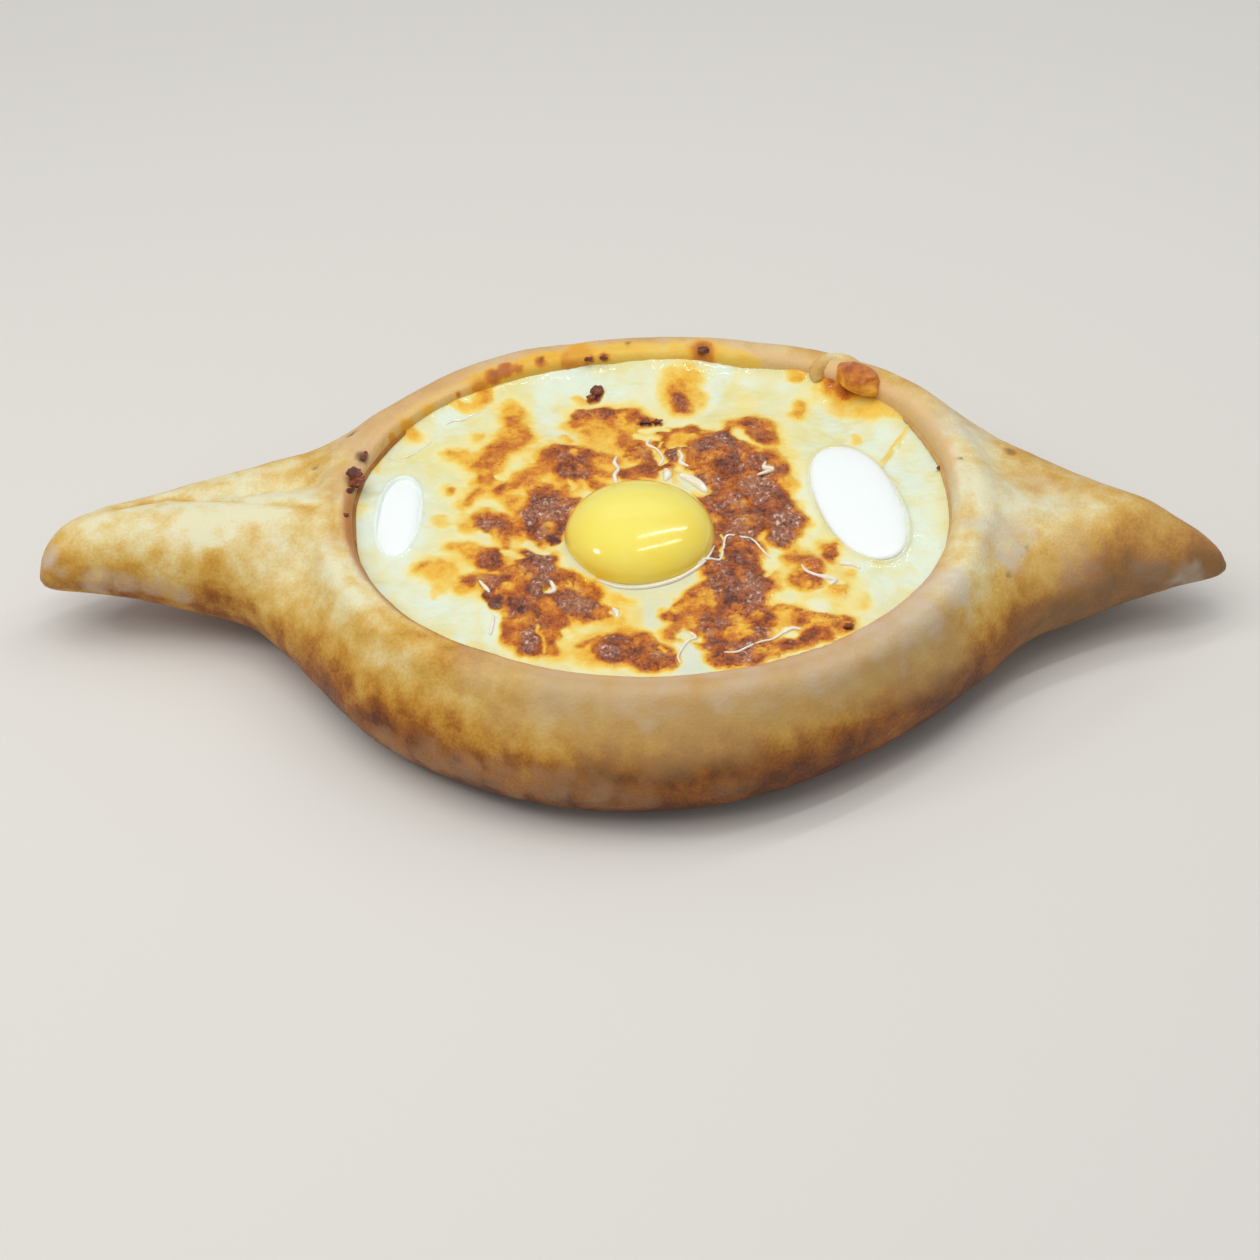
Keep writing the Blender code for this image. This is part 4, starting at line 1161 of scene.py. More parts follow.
# %% Rust dabs
RUST_DABS = [
    (-19, 29, -10, 27.5, 2, 2.6, 0.60), (-12, 46, -4, 45.6, 1.6, 1.6, 0.62),
    (-1, 45, 4, 42, 2.4, 2.4, 0.58), (3, 30, 6, 26, 5, 5, 0.62), (2, 19, 8, 21, 4, 4, 0.60),
    (-13.5, 22.5, -13, 22, 7, 7, 0.72), (9.5, 33, 11, 37, 3, 3, 0.56),
    (11, 37.5, 17, 37, 2.6, 2.8, 0.56), (17.5, 36, 18, 32, 3, 2.6, 0.56),
    (14, 34.5, 13.5, 33, 5, 5, 0.38), (12.5, 28.5, 12, 25, 3, 2.6, 0.68), (19, 30, 28, 30, 3, 4, 0.60),
    (17, 27, 19, 20, 5, 5, 0.60), (22, 27, 27, 24, 9, 10, 0.70), (25, 30, 26, 20, 8, 8, 0.72),
    (31.5, 26, 32, 19, 3.5, 3.5, 0.56), (34.5, 22, 36.5, 19, 6, 6, 0.64),
    (33, 38.2, 34, 37, 3, 2.6, 0.64), (34.5, 34.5, 36, 33, 2.6, 2.6, 0.62),
    (15, 50.5, 15.3, 47.5, 2.6, 2.4, 0.62), (22, 18, 22, 8, 3.5, 4, 0.62), (23, 15, 30, 13, 7, 7, 0.66),
    (25, 10, 26, 2, 9, 9, 0.66), (23.5, 2, 24, -5, 4, 4, 0.62), (33, 12, 36, 4, 8, 9, 0.72),
    (29, 3, 29, -6, 8, 7, 0.66), (35, 2, 38, -2, 9, 8, 0.74), (36, -4, 37, -8, 8, 6, 0.74),
    (22, 2, 22, -14, 2.4, 2.2, 0.60), (27, -11, 28.5, -16, 7.5, 6, 0.70),
    (32, -14, 33, -16, 3, 2, 0.56), (25, -22, 27, -27, 11, 12, 0.72), (23, -31, 28, -33, 7, 6, 0.72),
    (43, -19, 44, -20.5, 3, 3, 0.64), (42.5, -26.5, 44.5, -27.5, 4.2, 4, 0.62),
    (50.3, -14, 50, -16.5, 1.6, 1.6, 0.60), (18, -30, 12, -36, 2.2, 2.6, 0.56),
    (12, -36, 8.5, -39, 2.6, 1.6, 0.54), (17, -32, 15, -38, 6, 7, 0.54),
    (18.5, -40, 17.5, -45, 4, 4, 0.68), (22, -38, 31, -38, 4, 4, 0.64), (22, -41, 22, -50, 6, 7, 0.66),
    (31, -40, 31, -47, 5, 5, 0.66), (26, -50, 20, -48, 4, 5, 0.66), (26, -43, 26, -46, 5, 5, 0.54),
    (18, -47, 20.5, -54, 3.6, 3.4, 0.64), (23, -55, 27, -54.5, 5, 5, 0.66),
    (30, -53, 34, -51.5, 3, 3, 0.60), (37, -50, 47, -46.2, 2.4, 2.2, 0.58),
    (43, -41, 50, -43, 3, 4, 0.56), (50, -44, 52, -44.8, 2.6, 2, 0.68),
    (4, -47.5, 3, -48.5, 3, 3, 0.58), (-4, -51, 3, -54, 7, 7, 0.72), (4, -51, 8, -54, 5, 5, 0.66),
    (4, -56, 8, -56, 3.4, 3, 0.66), (-34.5, -0.5, -32, -2, 5.5, 5.5, 0.68),
    (-21, 9, -22, 1, 7, 8, 0.72), (-15, 8, -17.2, -2, 2.6, 4, 0.66), (-22, -1, -20, -5, 6, 5, 0.66),
    (-22.5, -5.5, -23, -8.5, 3.4, 3.2, 0.66), (-34.3, -14, -33.3, -16, 4, 4, 0.66),
    (-37, -22.5, -34.5, -25, 4, 4.5, 0.64), (-30.7, -21, -31, -29, 1.8, 1.8, 0.62),
    (-29.3, -20, -29.3, -45, 2, 2.4, 0.56), (-23, -16, -22.5, -20, 7.5, 7, 0.72),
    (-24.5, -22, -24.5, -33, 3, 4, 0.62), (-22, -26, -21.5, -28, 5, 5, 0.70),
    (-17, -24, -11, -28.5, 5, 6, 0.60), (-17, -28.5, -16.5, -31, 2.4, 2.2, 0.60),
    (-14, -32, -10, -34, 6.5, 5.5, 0.72), (-7.5, -36.2, -5.5, -37, 3.4, 3, 0.60),
    (-26, -34, -24.5, -40, 7, 6, 0.70), (-24.5, -40, -24.5, -48, 5, 4.4, 0.68),
    (-18.5, -39, -17.5, -43.5, 4, 3, 0.58), (-20.5, -43, -19.5, -49, 2.6, 2.4, 0.54),
]
print(len(RUST_DABS), "rust dabs")

# %% Burnt specks and pale gaps
DARK_DABS = [
    (-20, -7, -18.3, -9.5, 3, 2.2, 0.93), (-35, -29, -32.6, -33.5, 3.0, 3.0, 0.80),
    (-33, -31.5, -32, -31, 2.4, 2, 0.86), (25.2, -25, 25.6, -26.6, 2, 2, 0.84),
    (31, -46, 31.4, -45.4, 1.4, 1.4, 0.85), (52.2, -44.8, 52.8, -44.9, 2, 2, 0.86),
    (32.8, 38.4, 33.8, 38, 1.4, 1.2, 0.76), (4.4, 41.6, 6, 41.2, 1.3, 1.3, 0.88),
    (7.8, 41.5, 9, 41.4, 1.3, 1.2, 0.88), (-8.4, 51.5, -7.2, 55.5, 3.0, 3.4, 0.93),
    (12.6, 27.5, 12, 26, 1.3, 1.3, 0.80), (22.5, 23, 24.5, 22, 1.2, 1.0, 0.80),
    (-14, 21.5, -12.5, 22.5, 1.2, 1.0, 0.80), (34, 2, 36, -3, 1.2, 1.0, 0.84),
    (24, -29, 24.6, -32, 1.2, 1.2, 0.84), (-26, -35, -26.6, -37, 1.4, 1.2, 0.84),
    (17.8, -43.5, 17.9, -44.5, 1.4, 1.4, 0.82),
]
# Pale gaps in the browning; those under the white streaks that stand for glints are painted highlights.
PALE_DABS = [
    (-33, 19.8, -31.5, 19, 2.2, 1.8, 0.14), (-26, 28, -25, 24.5, 2.2, 2.0, 0.22),
    (-37, -3.5, -36, -5, 3, 3, 0.06), (-14.5, 16.5, -13, 13, 1.6, 1.6, 0.20),
    (29.3, 34.5, 31.5, 32.5, 3, 3, 0.10), (9, 28, 9.5, 25, 1.8, 2, 0.10),
    (14.2, 28, 14, 23, 1.6, 1.8, 0.08), (9.5, 33.5, 8.5, 31, 1.2, 1.2, 0.14),
    (15.5, 30.5, 11, 30.5, 1.2, 1.2, 0.12), (7, 30, 8.5, 23.5, 1.5, 1.5, 0.12),
    (9.8, 19.5, 10.3, 15.5, 2.4, 2, 0.04), (12.5, 20.5, 17, 17.5, 2, 2, 0.14),
    (14.5, 16.5, 19.5, 10.5, 3.4, 3, 0.04), (36, -14.5, 35.5, -19, 4, 4.5, 0.08),
    (35.5, -20, 34, -23, 3, 2.2, 0.14), (48, -25.8, 50.5, -27.5, 2, 3, 0.03),
    (54.5, -19.5, 56, -21, 2.6, 2.4, 0.06), (45, -35.5, 47, -36.5, 4, 4, 0.06),
    (38, -44.5, 40, -46, 2.6, 2.4, 0.03), (-26, -8.5, -20.5, -12.5, 3, 3, 0.04),
    (-3.6, -36.6, -3.2, -38.2, 2, 1.8, 0.02), (-19.4, -27.3, -20, -29.3, 1.8, 1.6, 0.02),
    (-22.6, -41, -21, -49, 1.1, 1.1, 0.34), (-15.5, -42, -14.5, -45, 2, 2, 0.10),
    (13, -45, 16, -47, 3, 3, 0.02), (13, -50, 15, -57, 4, 6, 0.03),
    (23.6, -8.5, 23.2, -17, 1.0, 1.0, 0.06), (3, 36.5, 8, 35, 2.4, 2.4, 0.12),
    (4.5, 39, 11, 39, 2.2, 2.2, 0.10), (-33, -37, -34, -43, 2, 2.2, 0.02),
    (33.5, -8, 33, -10, 2.4, 2.4, 0.30), (7.5, -50.5, 9, -52.5, 1.4, 1.4, 0.34),
    (-31.6, -12, -27, -14.5, 1.8, 3, 0.16),
]
print(len(DARK_DABS), "burnt specks and", len(PALE_DABS), "pale gaps")

# %% Milky cheese and egg white
# Milky places; those under the white streaks that stand for glints are painted highlights too.
MILKY_DABS = [
    (-18, 58, 6, 58, 14, 16, 0.95), (-22, 47, -14, 37, 8, 8, 0.9), (-46, -28, -39, -42, 10, 8, 0.9),
    (17, 40, 27, 62, 5, 6, 0.9), (34, 60, 42, 56, 8, 8, 0.8), (52, 48, 55, 38, 6, 7, 0.8),
    (-57, 22, -62, -24, 12, 10, 0.6), (-60, 14, -58, -16, 18, 18, 1.0), (-58, 34, -46, 40, 9, 7, 0.8),
    (-52, -24, -44, -34, 12, 12, 0.9), (46, 16, 46, -6, 4, 4, 0.9), (72, 26, 72, -22, 17, 14, 0.95),
    (60, -30, 62, -26, 9, 8, 0.6), (14, -48, 14, -58, 8, 10, 1.0), (64, 34, 66, 28, 12, 10, 0.95),
    (-48, 44, -40, 47, 5, 4, 0.9), (-25, -8, -20, -13, 5, 5, 1.0), (-34, -30, -34, -44, 4, 5, 1.0),
    (2, -36, 2, -46, 8, 8, 0.6), (36, -14, 35, -20, 6, 6, 1.0), (16, 16, 20, 10, 5, 5, 1.0),
    (45, -36, 47, -37, 6, 6, 0.9), (54, -18, 57, -22, 6, 6, 0.8), (-8, 48, 0, 48, 3, 3, 0.6),
]
EGG_FILM = [
    (-8, -24, 8, -30, 8, 10, 1.0), (8, -30, 17, -22, 10, 8, 1.0), (6, -34, 6, -40, 12, 9, 1.0),
    (13, -46, 14, -58, 5, 8, 0.9), (-17, -14, -20, -11, 6, 5, 0.9), (-15, -18, -10, -24, 5, 6, 0.9),
    (18, 12, 10, 18, 5, 5, 0.8), (-24, -8, -20, -12, 4, 4, 0.8), (-37, -4, -36, -5, 4, 4, 0.6),
]
print(len(MILKY_DABS), "milky dabs and", len(EGG_FILM), "films of egg white")

# %% [markdown]
# A dab covers what lies near its line, with a soft edge. Clean edges would look painted, so the
# places are first pushed about by noise, which tears the edges as bubbling cheese does.

# %% Paint the browning
def dab_cover(dab, x, y, soft, reach=1.0):
    """How well a dab covers each place: 1 well inside it, 0 well outside, with a soft edge."""
    x0, y0, x1, y1, wide_start, wide_end, _ = dab
    dx, dy = x1 - x0, y1 - y0
    share = np.clip(((x - x0) * dx + (y - y0) * dy) / (dx * dx + dy * dy), 0, 1)
    far = np.hypot(x - x0 - share * dx, y - y0 - share * dy)
    return ramp(far / (blend(wide_start, wide_end, share) / 2), reach + soft, reach - soft)


def paint_over(tone, dabs, x, y, soft, strength=1.0, reach=1.0):
    """Mixes each dab's tone over what is there, one after another."""
    for dab in dabs:
        tone = blend(tone, dab[-1], strength * dab_cover(dab, x, y, soft, reach))
    return tone


def greatest(dabs, x, y, soft):
    """The strongest dab at each place, for masks that have no order."""
    found = np.zeros(len(x))
    for dab in dabs:
        found = np.maximum(found, dab[-1] * dab_cover(dab, x, y, soft))
    return found


def widened(dabs, factor, extra, tone):
    """The same dabs made wider, all of one tone."""
    return [(*dab[:4], dab[4] * factor + extra, dab[5] * factor + extra, tone) for dab in dabs]


def frayed(points, amount):
    """Plan positions in millimetres, pushed about at three sizes so that dabs get torn edges."""
    place = []
    for axis, seed in ((0, 201), (1, 211)):
        push = 1.1 * soft_noise(points, 5.0 * MM, seed) + 0.7 * soft_noise(points, 2.2 * MM, seed + 1)
        push += 0.20 * soft_noise(points, 1.0 * MM, seed + 2)
        place.append(points[:, axis] / MM + amount * push)
    return place


torn = frayed(here, 1.0)
slack = frayed(here, 0.55)
mottle = layered_noise(here, 3.2 * MM, 261, 3)


def painted_tone():
    """How brown the cheese is at each place, from 0 to 1."""
    clouds = ramp(layered_noise(here, 7 * MM, 271, 3), 0.0, 0.7)
    tone = 0.02 + 0.07 * clouds * ramp(across, -50, -20) * ramp(across, 66, 44)
    glow = greatest(widened(ORANGE_DABS + RUST_DABS, 1.4, 5.5, tone=1.0), *slack, soft=0.7)
    tone = np.maximum(tone, 0.25 * glow * (0.8 + 0.5 * mottle))
    gold_round_orange = widened(ORANGE_DABS, 1.15, 1.8, tone=0.34)
    orange_round_rust = widened(RUST_DABS, 1.10, 2.0, tone=0.42)
    brown_round_rust = widened(RUST_DABS, 1.2, 2.0, tone=0.60)
    tone = paint_over(tone, GOLDEN_DABS, *slack, soft=0.75)
    tone = paint_over(tone, gold_round_orange, *slack, soft=0.6, strength=0.75)
    tone = paint_over(tone, orange_round_rust, *torn, soft=0.6, strength=0.85)
    tone = paint_over(tone, ORANGE_DABS, *torn, soft=0.5, reach=1.08)
    tone = paint_over(tone, brown_round_rust, *torn, soft=0.35, strength=0.85)
    tone = paint_over(tone, RUST_DABS, *torn, soft=0.42, reach=1.22)
    tone = paint_over(tone, PALE_DABS, *torn, soft=0.60, strength=0.8)
    at_wall = ramp(wall_gap / MM, -1.5, -0.3) * ramp(back, 12, -18)
    tone = blend(tone, 0.34, 0.3 * at_wall)
    return paint_over(tone, DARK_DABS, *slack, soft=0.30)


smooth_tone = painted_tone()
milky = greatest(MILKY_DABS, *slack, soft=0.6)
egg_film = greatest(EGG_FILM, *slack, soft=0.4) * ramp(smooth_tone, 0.36, 0.18)
print("browned share of the top:", round(float((smooth_tone > 0.5).mean()), 2))

# %% [markdown]
# ## Blisters
# Steam lifts browned cheese into domes from one to ten millimetres wide. The big ones are
# placed one by one. Small ones are dealt out at random, only where the cheese is brown. Each is
# a rounded cap on the height, and where caps meet there is a crease.

# %% Blisters on the browned cheese
BIG_BLISTERS = [
    (-14, 22.5, 3.5), (14, 34.5, 4.6), (24, 27, 4.2), (27, 21, 4), (36, 19.5, 3.2), (27, 9, 5),
    (34, 5.5, 4.5), (37.5, -1, 4.2), (36.5, -7, 3.2), (28, -3, 4), (28, -13, 4), (26, -25, 5.6),
    (25, -32.5, 4), (26, -45, 4.4), (18, -43, 3), (46, -42, 4), (-3, -52, 4.5), (5, -55, 3.5),
    (-21, 5, 4.4), (-23, -17.5, 4), (-21.8, -27, 2.8), (-12, -33, 4), (-14, -26, 3.4),
    (-25.5, -37, 3.8), (-24.5, -45, 3), (-33, -1.5, 3.4), (-35.5, -14.5, 2.8), (-36.5, -24, 3.2),
    (-10, -51, 3.6), (43.5, -27, 2.4), (15.2, 49, 2), (43.5, -21, 3.2), (16, -35, 3.6), (30, 28, 2.6),
    (-5, 20.5, 2.6), (3.5, 28, 3.2), (18.5, 24, 3.2), (23.5, 15, 3), (31, -39, 3), (21.5, -50, 3.2),
]
MIDDLING_BLISTERS, SMALL_BLISTERS = 150, 700


def caps(centres, wide_from, wide_to, seed):
    """Height in millimetres of rounded caps at the given places, (x, y) or (x, y, radius)."""
    rng = np.random.default_rng(seed)
    height = np.zeros(len(here))
    for centre in centres:
        radius = centre[2] if len(centre) == 3 else rng.uniform(wide_from, wide_to)
        stretch, turn = rng.uniform(0.7, 1.0), rng.uniform(0, math.pi)
        dx, dy = slack[0] - centre[0], slack[1] - centre[1]
        near = np.flatnonzero((np.abs(dx) < radius) & (np.abs(dy) < radius))
        dx, dy = dx[near], dy[near]
        a = dx * math.cos(turn) + dy * math.sin(turn)
        b = (dy * math.cos(turn) - dx * math.sin(turn)) / stretch
        cap = np.sqrt(np.maximum(1 - (a * a + b * b) / radius**2, 0)) * radius
        height[near] = np.maximum(height[near], cap)
    return height


def dealt(count, seed):
    """Random places, more likely the browner the cheese is."""
    likely = np.maximum(smooth_tone - 0.50, 0)
    share = likely / likely.sum()
    picked = np.random.default_rng(seed).choice(len(here), count, replace=False, p=share)
    return here[picked, :2] / MM


big = caps(BIG_BLISTERS, 1, 2, seed=301)
middling = caps(dealt(MIDDLING_BLISTERS, seed=302), 1.0, 2.2, seed=303)
small = caps(dealt(SMALL_BLISTERS, seed=304), 0.5, 1.1, seed=305)
toasted = ramp(smooth_tone, 0.44, 0.66)
blistered = (0.22 * big + 0.26 * middling + 0.28 * small) * toasted
print("blisters up to", round(float(blistered.max()), 2), "mm high")

# %% [markdown]
# The height of the cheese adds up what really happened to it. The pool creeps up the wall, most
# at the back. Curds show through, crusts and blisters stand proud with leathery wrinkles, and a
# skin lies in soft folds at the right. Egg white is a calm film over all that. The cheese dips
# under the yolk and the pats, and climbs a little at their edges, as a liquid does.

# %% The pool and its relief
def pool_level():
    """The gently uneven pool, which creeps up the wall and most at the back."""
    x, y = plan.T
    swell = np.sin(95 * x + 1.3) * np.cos(110 * y - 0.4) + 0.6 * np.sin(170 * x - 140 * y + 2.0)
    further_back = np.clip((y - OPENING_CENTRE[1]) / OPENING_BACK_HALF, 0, 1)
    rise = CHEESE_RISE_AT_WALL + CHEESE_MORE_AT_BACK * further_back
    near_wall = np.exp(np.minimum(wall_gap, 0) / CHEESE_RISE_WIDTH)
    return CHEESE_LEVEL + CHEESE_WAVE * swell + rise * near_wall


FOLD_LINES = [
    (76, 38, 71, 30, 1.6, 1.6, 1), (71, 30, 66, 21, 1.6, 1.4, 1), (66, 21, 65.5, 16, 1.4, 1.2, 0.8),
    (65.5, 16, 69, 11, 1.2, 1.0, 0.6), (78, 30, 81, 22, 1.4, 1.4, 0.7),
]
leather = np.abs(layered_noise(here * [1.0, 1.3, 1.0], 2.0 * MM, 221, 3))


def cheese_relief():
    """Relief in millimetres: raised crusts, blisters, leathery wrinkles, curds and calm egg white."""
    curd = 0.30 * layered_noise(here, 6 * MM, 231, 2)
    curd += 0.09 * layered_noise(here * [1.0, 1.6, 1.0], 2.0 * MM, 241, 2)
    crusted = 0.50 * ramp(smooth_tone, 0.12, 0.60) + blistered
    crusted = crusted - 0.50 * toasted * ramp(leather, 0.20, 0.0)
    rough = curd + crusted + 0.45 * greatest(FOLD_LINES, across, back, 0.5)
    film = 0.34 + 0.05 * soft_noise(here, 6 * MM, 251)
    return blend(rough, smooth_max(rough * 0.4, film, 0.3), egg_film)


print("wrinkles:", round(float((leather < 0.1).mean()), 2), "of the top")

# %% Distance to the yolk and the pats
PATS = {
    "white_pat_right": {
        "half": (0.0105, 0.0238), "turn": 12.0, "fullness": 2.3, "uneven": 0.018, "seed": 501,
        "creep": 1.0,
    },
    "white_pat_left": {
        "half": (0.0055, 0.0162), "turn": -3.0, "fullness": 2.2, "uneven": 0.030, "seed": 511,
        "creep": 0.85,
    },
}


def yolk_distance():
    """Distance in millimetres outwards from the yolk's outline."""
    radius_x = (yolk_high.x - yolk_low.x) / 2
    radius_y = (yolk_high.y - yolk_low.y) / 2
    q = np.hypot((here[:, 0] - yolk_middle.x) / radius_x, (here[:, 1] - yolk_middle.y) / radius_y)
    return (q - 1) * (radius_x + radius_y) / 2 / MM


def pat_distance(name, pat):
    """Distance in millimetres outwards from a pat's outline, about."""
    middle = sum(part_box(name), Vector()) / 2
    turn = math.radians(pat["turn"])
    dx, dy = here[:, 0] - middle.x, here[:, 1] - middle.y
    a = (dx * math.cos(turn) + dy * math.sin(turn)) / pat["half"][0]
    b = (dy * math.cos(turn) - dx * math.sin(turn)) / pat["half"][1]
    q = (np.abs(a) ** pat["fullness"] + np.abs(b) ** pat["fullness"]) ** (1 / pat["fullness"])
    return (q - 1) * np.hypot(dx, dy) / np.maximum(q, 0.05) / MM


print("helpers for the yolk and", len(PATS), "pats")

# %% Height of the cheese
def creep(gap, height, width):
    """A rim of cheese that climbs at the edge of what floats in it, and dies away over a width."""
    return height * np.exp(-np.maximum(gap, 0) / width)


YOLK_DIP, YOLK_CREEP, YOLK_CREEP_WIDTH = 5.0, 1.6, 1.4
PAT_DIP, PAT_CREEP_WIDTH = 1.5, 0.9
SMEAR, SMEAR_WIDTH = 0.85, 1.0
yolk_gap = yolk_distance()
pat_gaps = {pat_name: pat_distance(pat_name, pat) for pat_name, pat in PATS.items()}
top_relief = cheese_relief() * ramp(yolk_gap, 0.0, 2.5)
for pat_name, pat_gap in pat_gaps.items():
    top_relief += creep(pat_gap, PATS[pat_name]["creep"], PAT_CREEP_WIDTH) * ramp(pat_gap, -0.8, 0.0)
    top_relief -= PAT_DIP * ramp(pat_gap, -0.3, -2.5)
meniscus = creep(yolk_gap, YOLK_CREEP, YOLK_CREEP_WIDTH) * ramp(yolk_gap, -2.2, -0.2)
top_relief += meniscus - YOLK_DIP * ramp(yolk_gap, -0.2, -3.0)
smear = creep(pat_gaps["white_pat_left"], SMEAR, SMEAR_WIDTH)
heights = pool_level() + top_relief * MM
print("cheese from", round(heights.min() / MM, 1), "to", round(heights.max() / MM, 1), "mm high")

# %% [markdown]
# The sheet of cheese gets a body. Its stepped border is first drawn out to one even line just
# inside the dough, then goes straight down, and a floor closes it, so that the piece is one
# closed solid.

# %% Close the cheese into a solid
def border_loop(quads):
    """Corners round the border of a sheet of quads, in order."""
    ends = np.concatenate([quads[:, [i, (i + 1) % 4]] for i in range(4)])
    seen = {(int(a), int(b)) for a, b in ends}
    following = {a: b for a, b in seen if (b, a) not in seen}
    start = min(following)
    loop = [start]
    while following[loop[-1]] != start:
        loop.append(following[loop[-1]])
    return loop


def closed_sheet(corners, quads, floor_z):
    """The sheet with a skirt down to the floor and a fan that closes it below."""
    loop = border_loop(quads)
    n = len(corners)
    low = corners[loop].copy()
    low[:, 2] = floor_z
    faces = quads.tolist()
    for i in range(len(loop)):
        j = (i + 1) % len(loop)
        faces.append([loop[j], loop[i], n + i, n + j])
        faces.append([n + j, n + i, n + len(loop)])
    return np.concatenate([corners, low, low.mean(axis=0)[None]]), faces


border = np.array(border_loop(cheese_quads))
for _ in range(2):
    gap, _ = plan_distance(plan[border, 0], plan[border, 1])
    near = [np.argmin(np.sum((EDGE_LINE - p) ** 2, axis=1)) for p in plan[border]]
    plan[border] += EDGE_OUT[near] * (CHEESE_REACH - gap)[:, None]
top = np.column_stack([plan - DRAWN_SHIFT, heights])
cheese_corners, cheese_faces = closed_sheet(top, cheese_quads, CAVITY_FLOOR + GAP)
cheese = make_piece("cheese_filling", cheese_corners, cheese_faces)
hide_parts("filling")
print("cheese:", len(cheese_faces), "faces")

# %% [markdown]
# The painted tone is now broken up by the shape: wrinkles and the creases between blisters are
# painted darker, as painted shade, and the crowns a little lighter, as painted highlight. Other
# masks say where the brown carries a painted sheen, where the surface is wet, where the cheese is
# milky, and where the left pat, which has begun to melt, smears white over it.

# %% Masks of the cheese
def cheese_masks():
    """All masks of the top of the cheese by name, from 0 to 1."""
    lively = ramp(smooth_tone, 0.10, 0.40)
    crown = np.clip(blistered / 0.8, 0, 1)
    tone = smooth_tone + (0.09 + 0.10 * toasted) * mottle * lively
    # Wrinkles and creases between blisters painted darker as painted shade, crowns lighter as painted
    # highlight.
    tone += toasted * (0.16 * ramp(leather, 0.14, 0.0) + 0.06 * ramp(crown, 0.35, 0.0) - 0.05)
    patchy = ramp(layered_noise(here, 4.0 * MM, 281, 2), -0.35, 0.35)
    # Where the brown carries a painted sheen, broken up by patchy noise.
    purple = ramp(smooth_tone, 0.58, 0.70) * ramp(smooth_tone, 0.92, 0.80)
    purple *= blend(0.08, 1.0, patchy)
    wet = np.maximum(egg_film, 0.9 * np.exp(-np.maximum(yolk_gap, 0) / 1.5))
    milk = np.clip(0.12 + 0.74 * milky + 0.46 * layered_noise(here, 5 * MM, 291, 3), 0, 1)
    return {
        "tone": np.clip(tone, 0, 1), "purple": purple, "wet": wet, "milk": milk, "smear": smear,
    }


extra = len(cheese_corners) - len(here)
for mask_name, mask in cheese_masks().items():
    add_mask(cheese, mask_name, np.concatenate([mask, np.zeros(extra)]))
    print(f"{mask_name:9s} mean {mask.mean():.2f}")

# %% [markdown]
# ## Cheese finish
# The shared group gives the colour, and egg white and melted pat are mixed over it. The surface
# is greasy, so a clear coat lies over it, strongest on the egg white and thinner on dry brown
# crust. Brown crusts also get a leathery bump that breaks the shine into many small glints.

# %% Cheese material
EGG_WHITE_FILM, MELTED_PAT = paint(216, 219, 192), paint(240, 252, 246)


def cheese_material():
    material, tree, shader = new_material("baked_cheese")
    coarse = speckle(tree, 480.0, 4.0)
    fine = speckle(tree, 1500.0, 3.0)
    tone, wet = mask_node(tree, "tone"), mask_node(tree, "wet")
    active = map_range(tree, tone, 0.05, 0.35, 0.0, 1.0)
    swings = swing(tree, coarse["mask"], 0.07), swing(tree, fine["mask"], 0.05)
    swung = math_node(tree, "MULTIPLY_ADD", math_node(tree, "ADD", *swings), active, tone)
    # A sharp noise gives the painted glints and the painted shade of small pits, and a mask gives the
    # painted sheen.
    sharp = speckle(tree, 900.0, 2.0)
    toast = place_group(
        tree, TOAST, tone=swung, milk=mask_node(tree, "milk"), purple=mask_node(tree, "purple"),
        speckle=fine["mask"], glint=sharp["height"],
    )
    clear = times(tree, wet, map_range(tree, tone, 0.05, 0.30, 0.55, 0.0))
    color = mix_color(tree, clear, toast["color"], EGG_WHITE_FILM)
    color = mix_color(tree, mask_node(tree, "smear"), color, MELTED_PAT)
    feed(tree, shader.inputs["Base Color"], color)
    dry = map_range(tree, fine["mask"], 0.0, 1.0, 0.30, 0.46)
    feed(tree, shader.inputs["Roughness"], times(tree, dry, map_range(tree, wet, 0.0, 1.0, 1.0, 0.35)))
    dry_coat = map_range(tree, tone, 0.45, 0.65, 0.60, 0.32)
    feed(tree, shader.inputs["Coat Weight"], math_node(tree, "MAXIMUM", dry_coat, wet))
    set_sockets(shader, {
        "Coat Roughness": 0.08, "Subsurface Weight": 0.10,
        "Subsurface Radius": (0.003, 0.002, 0.001), "Subsurface Scale": 0.5,
    })
    leathery = map_range(tree, tone, 0.30, 0.65, 0.25, 1.0)
    dull = times(tree, leathery, map_range(tree, wet, 0.0, 1.0, 1.0, 0.1))
    height = two_grains(tree, coarse, fine, 1.6)
    add_bump(tree, shader, times(tree, height, dull), strength=0.55, distance=0.0009)
    return material


cheese.data.materials.append(cheese_material())
print("cheese finish:", len(cheese.data.materials[0].node_tree.nodes), "nodes")

# %% [markdown]
# ## Rounded bodies and strands
# Two forms serve everything that lies on the cheese: a dome, which is a ball flattened above
# and below its waist, and a strand, which is a tube of changing thickness along a curve.

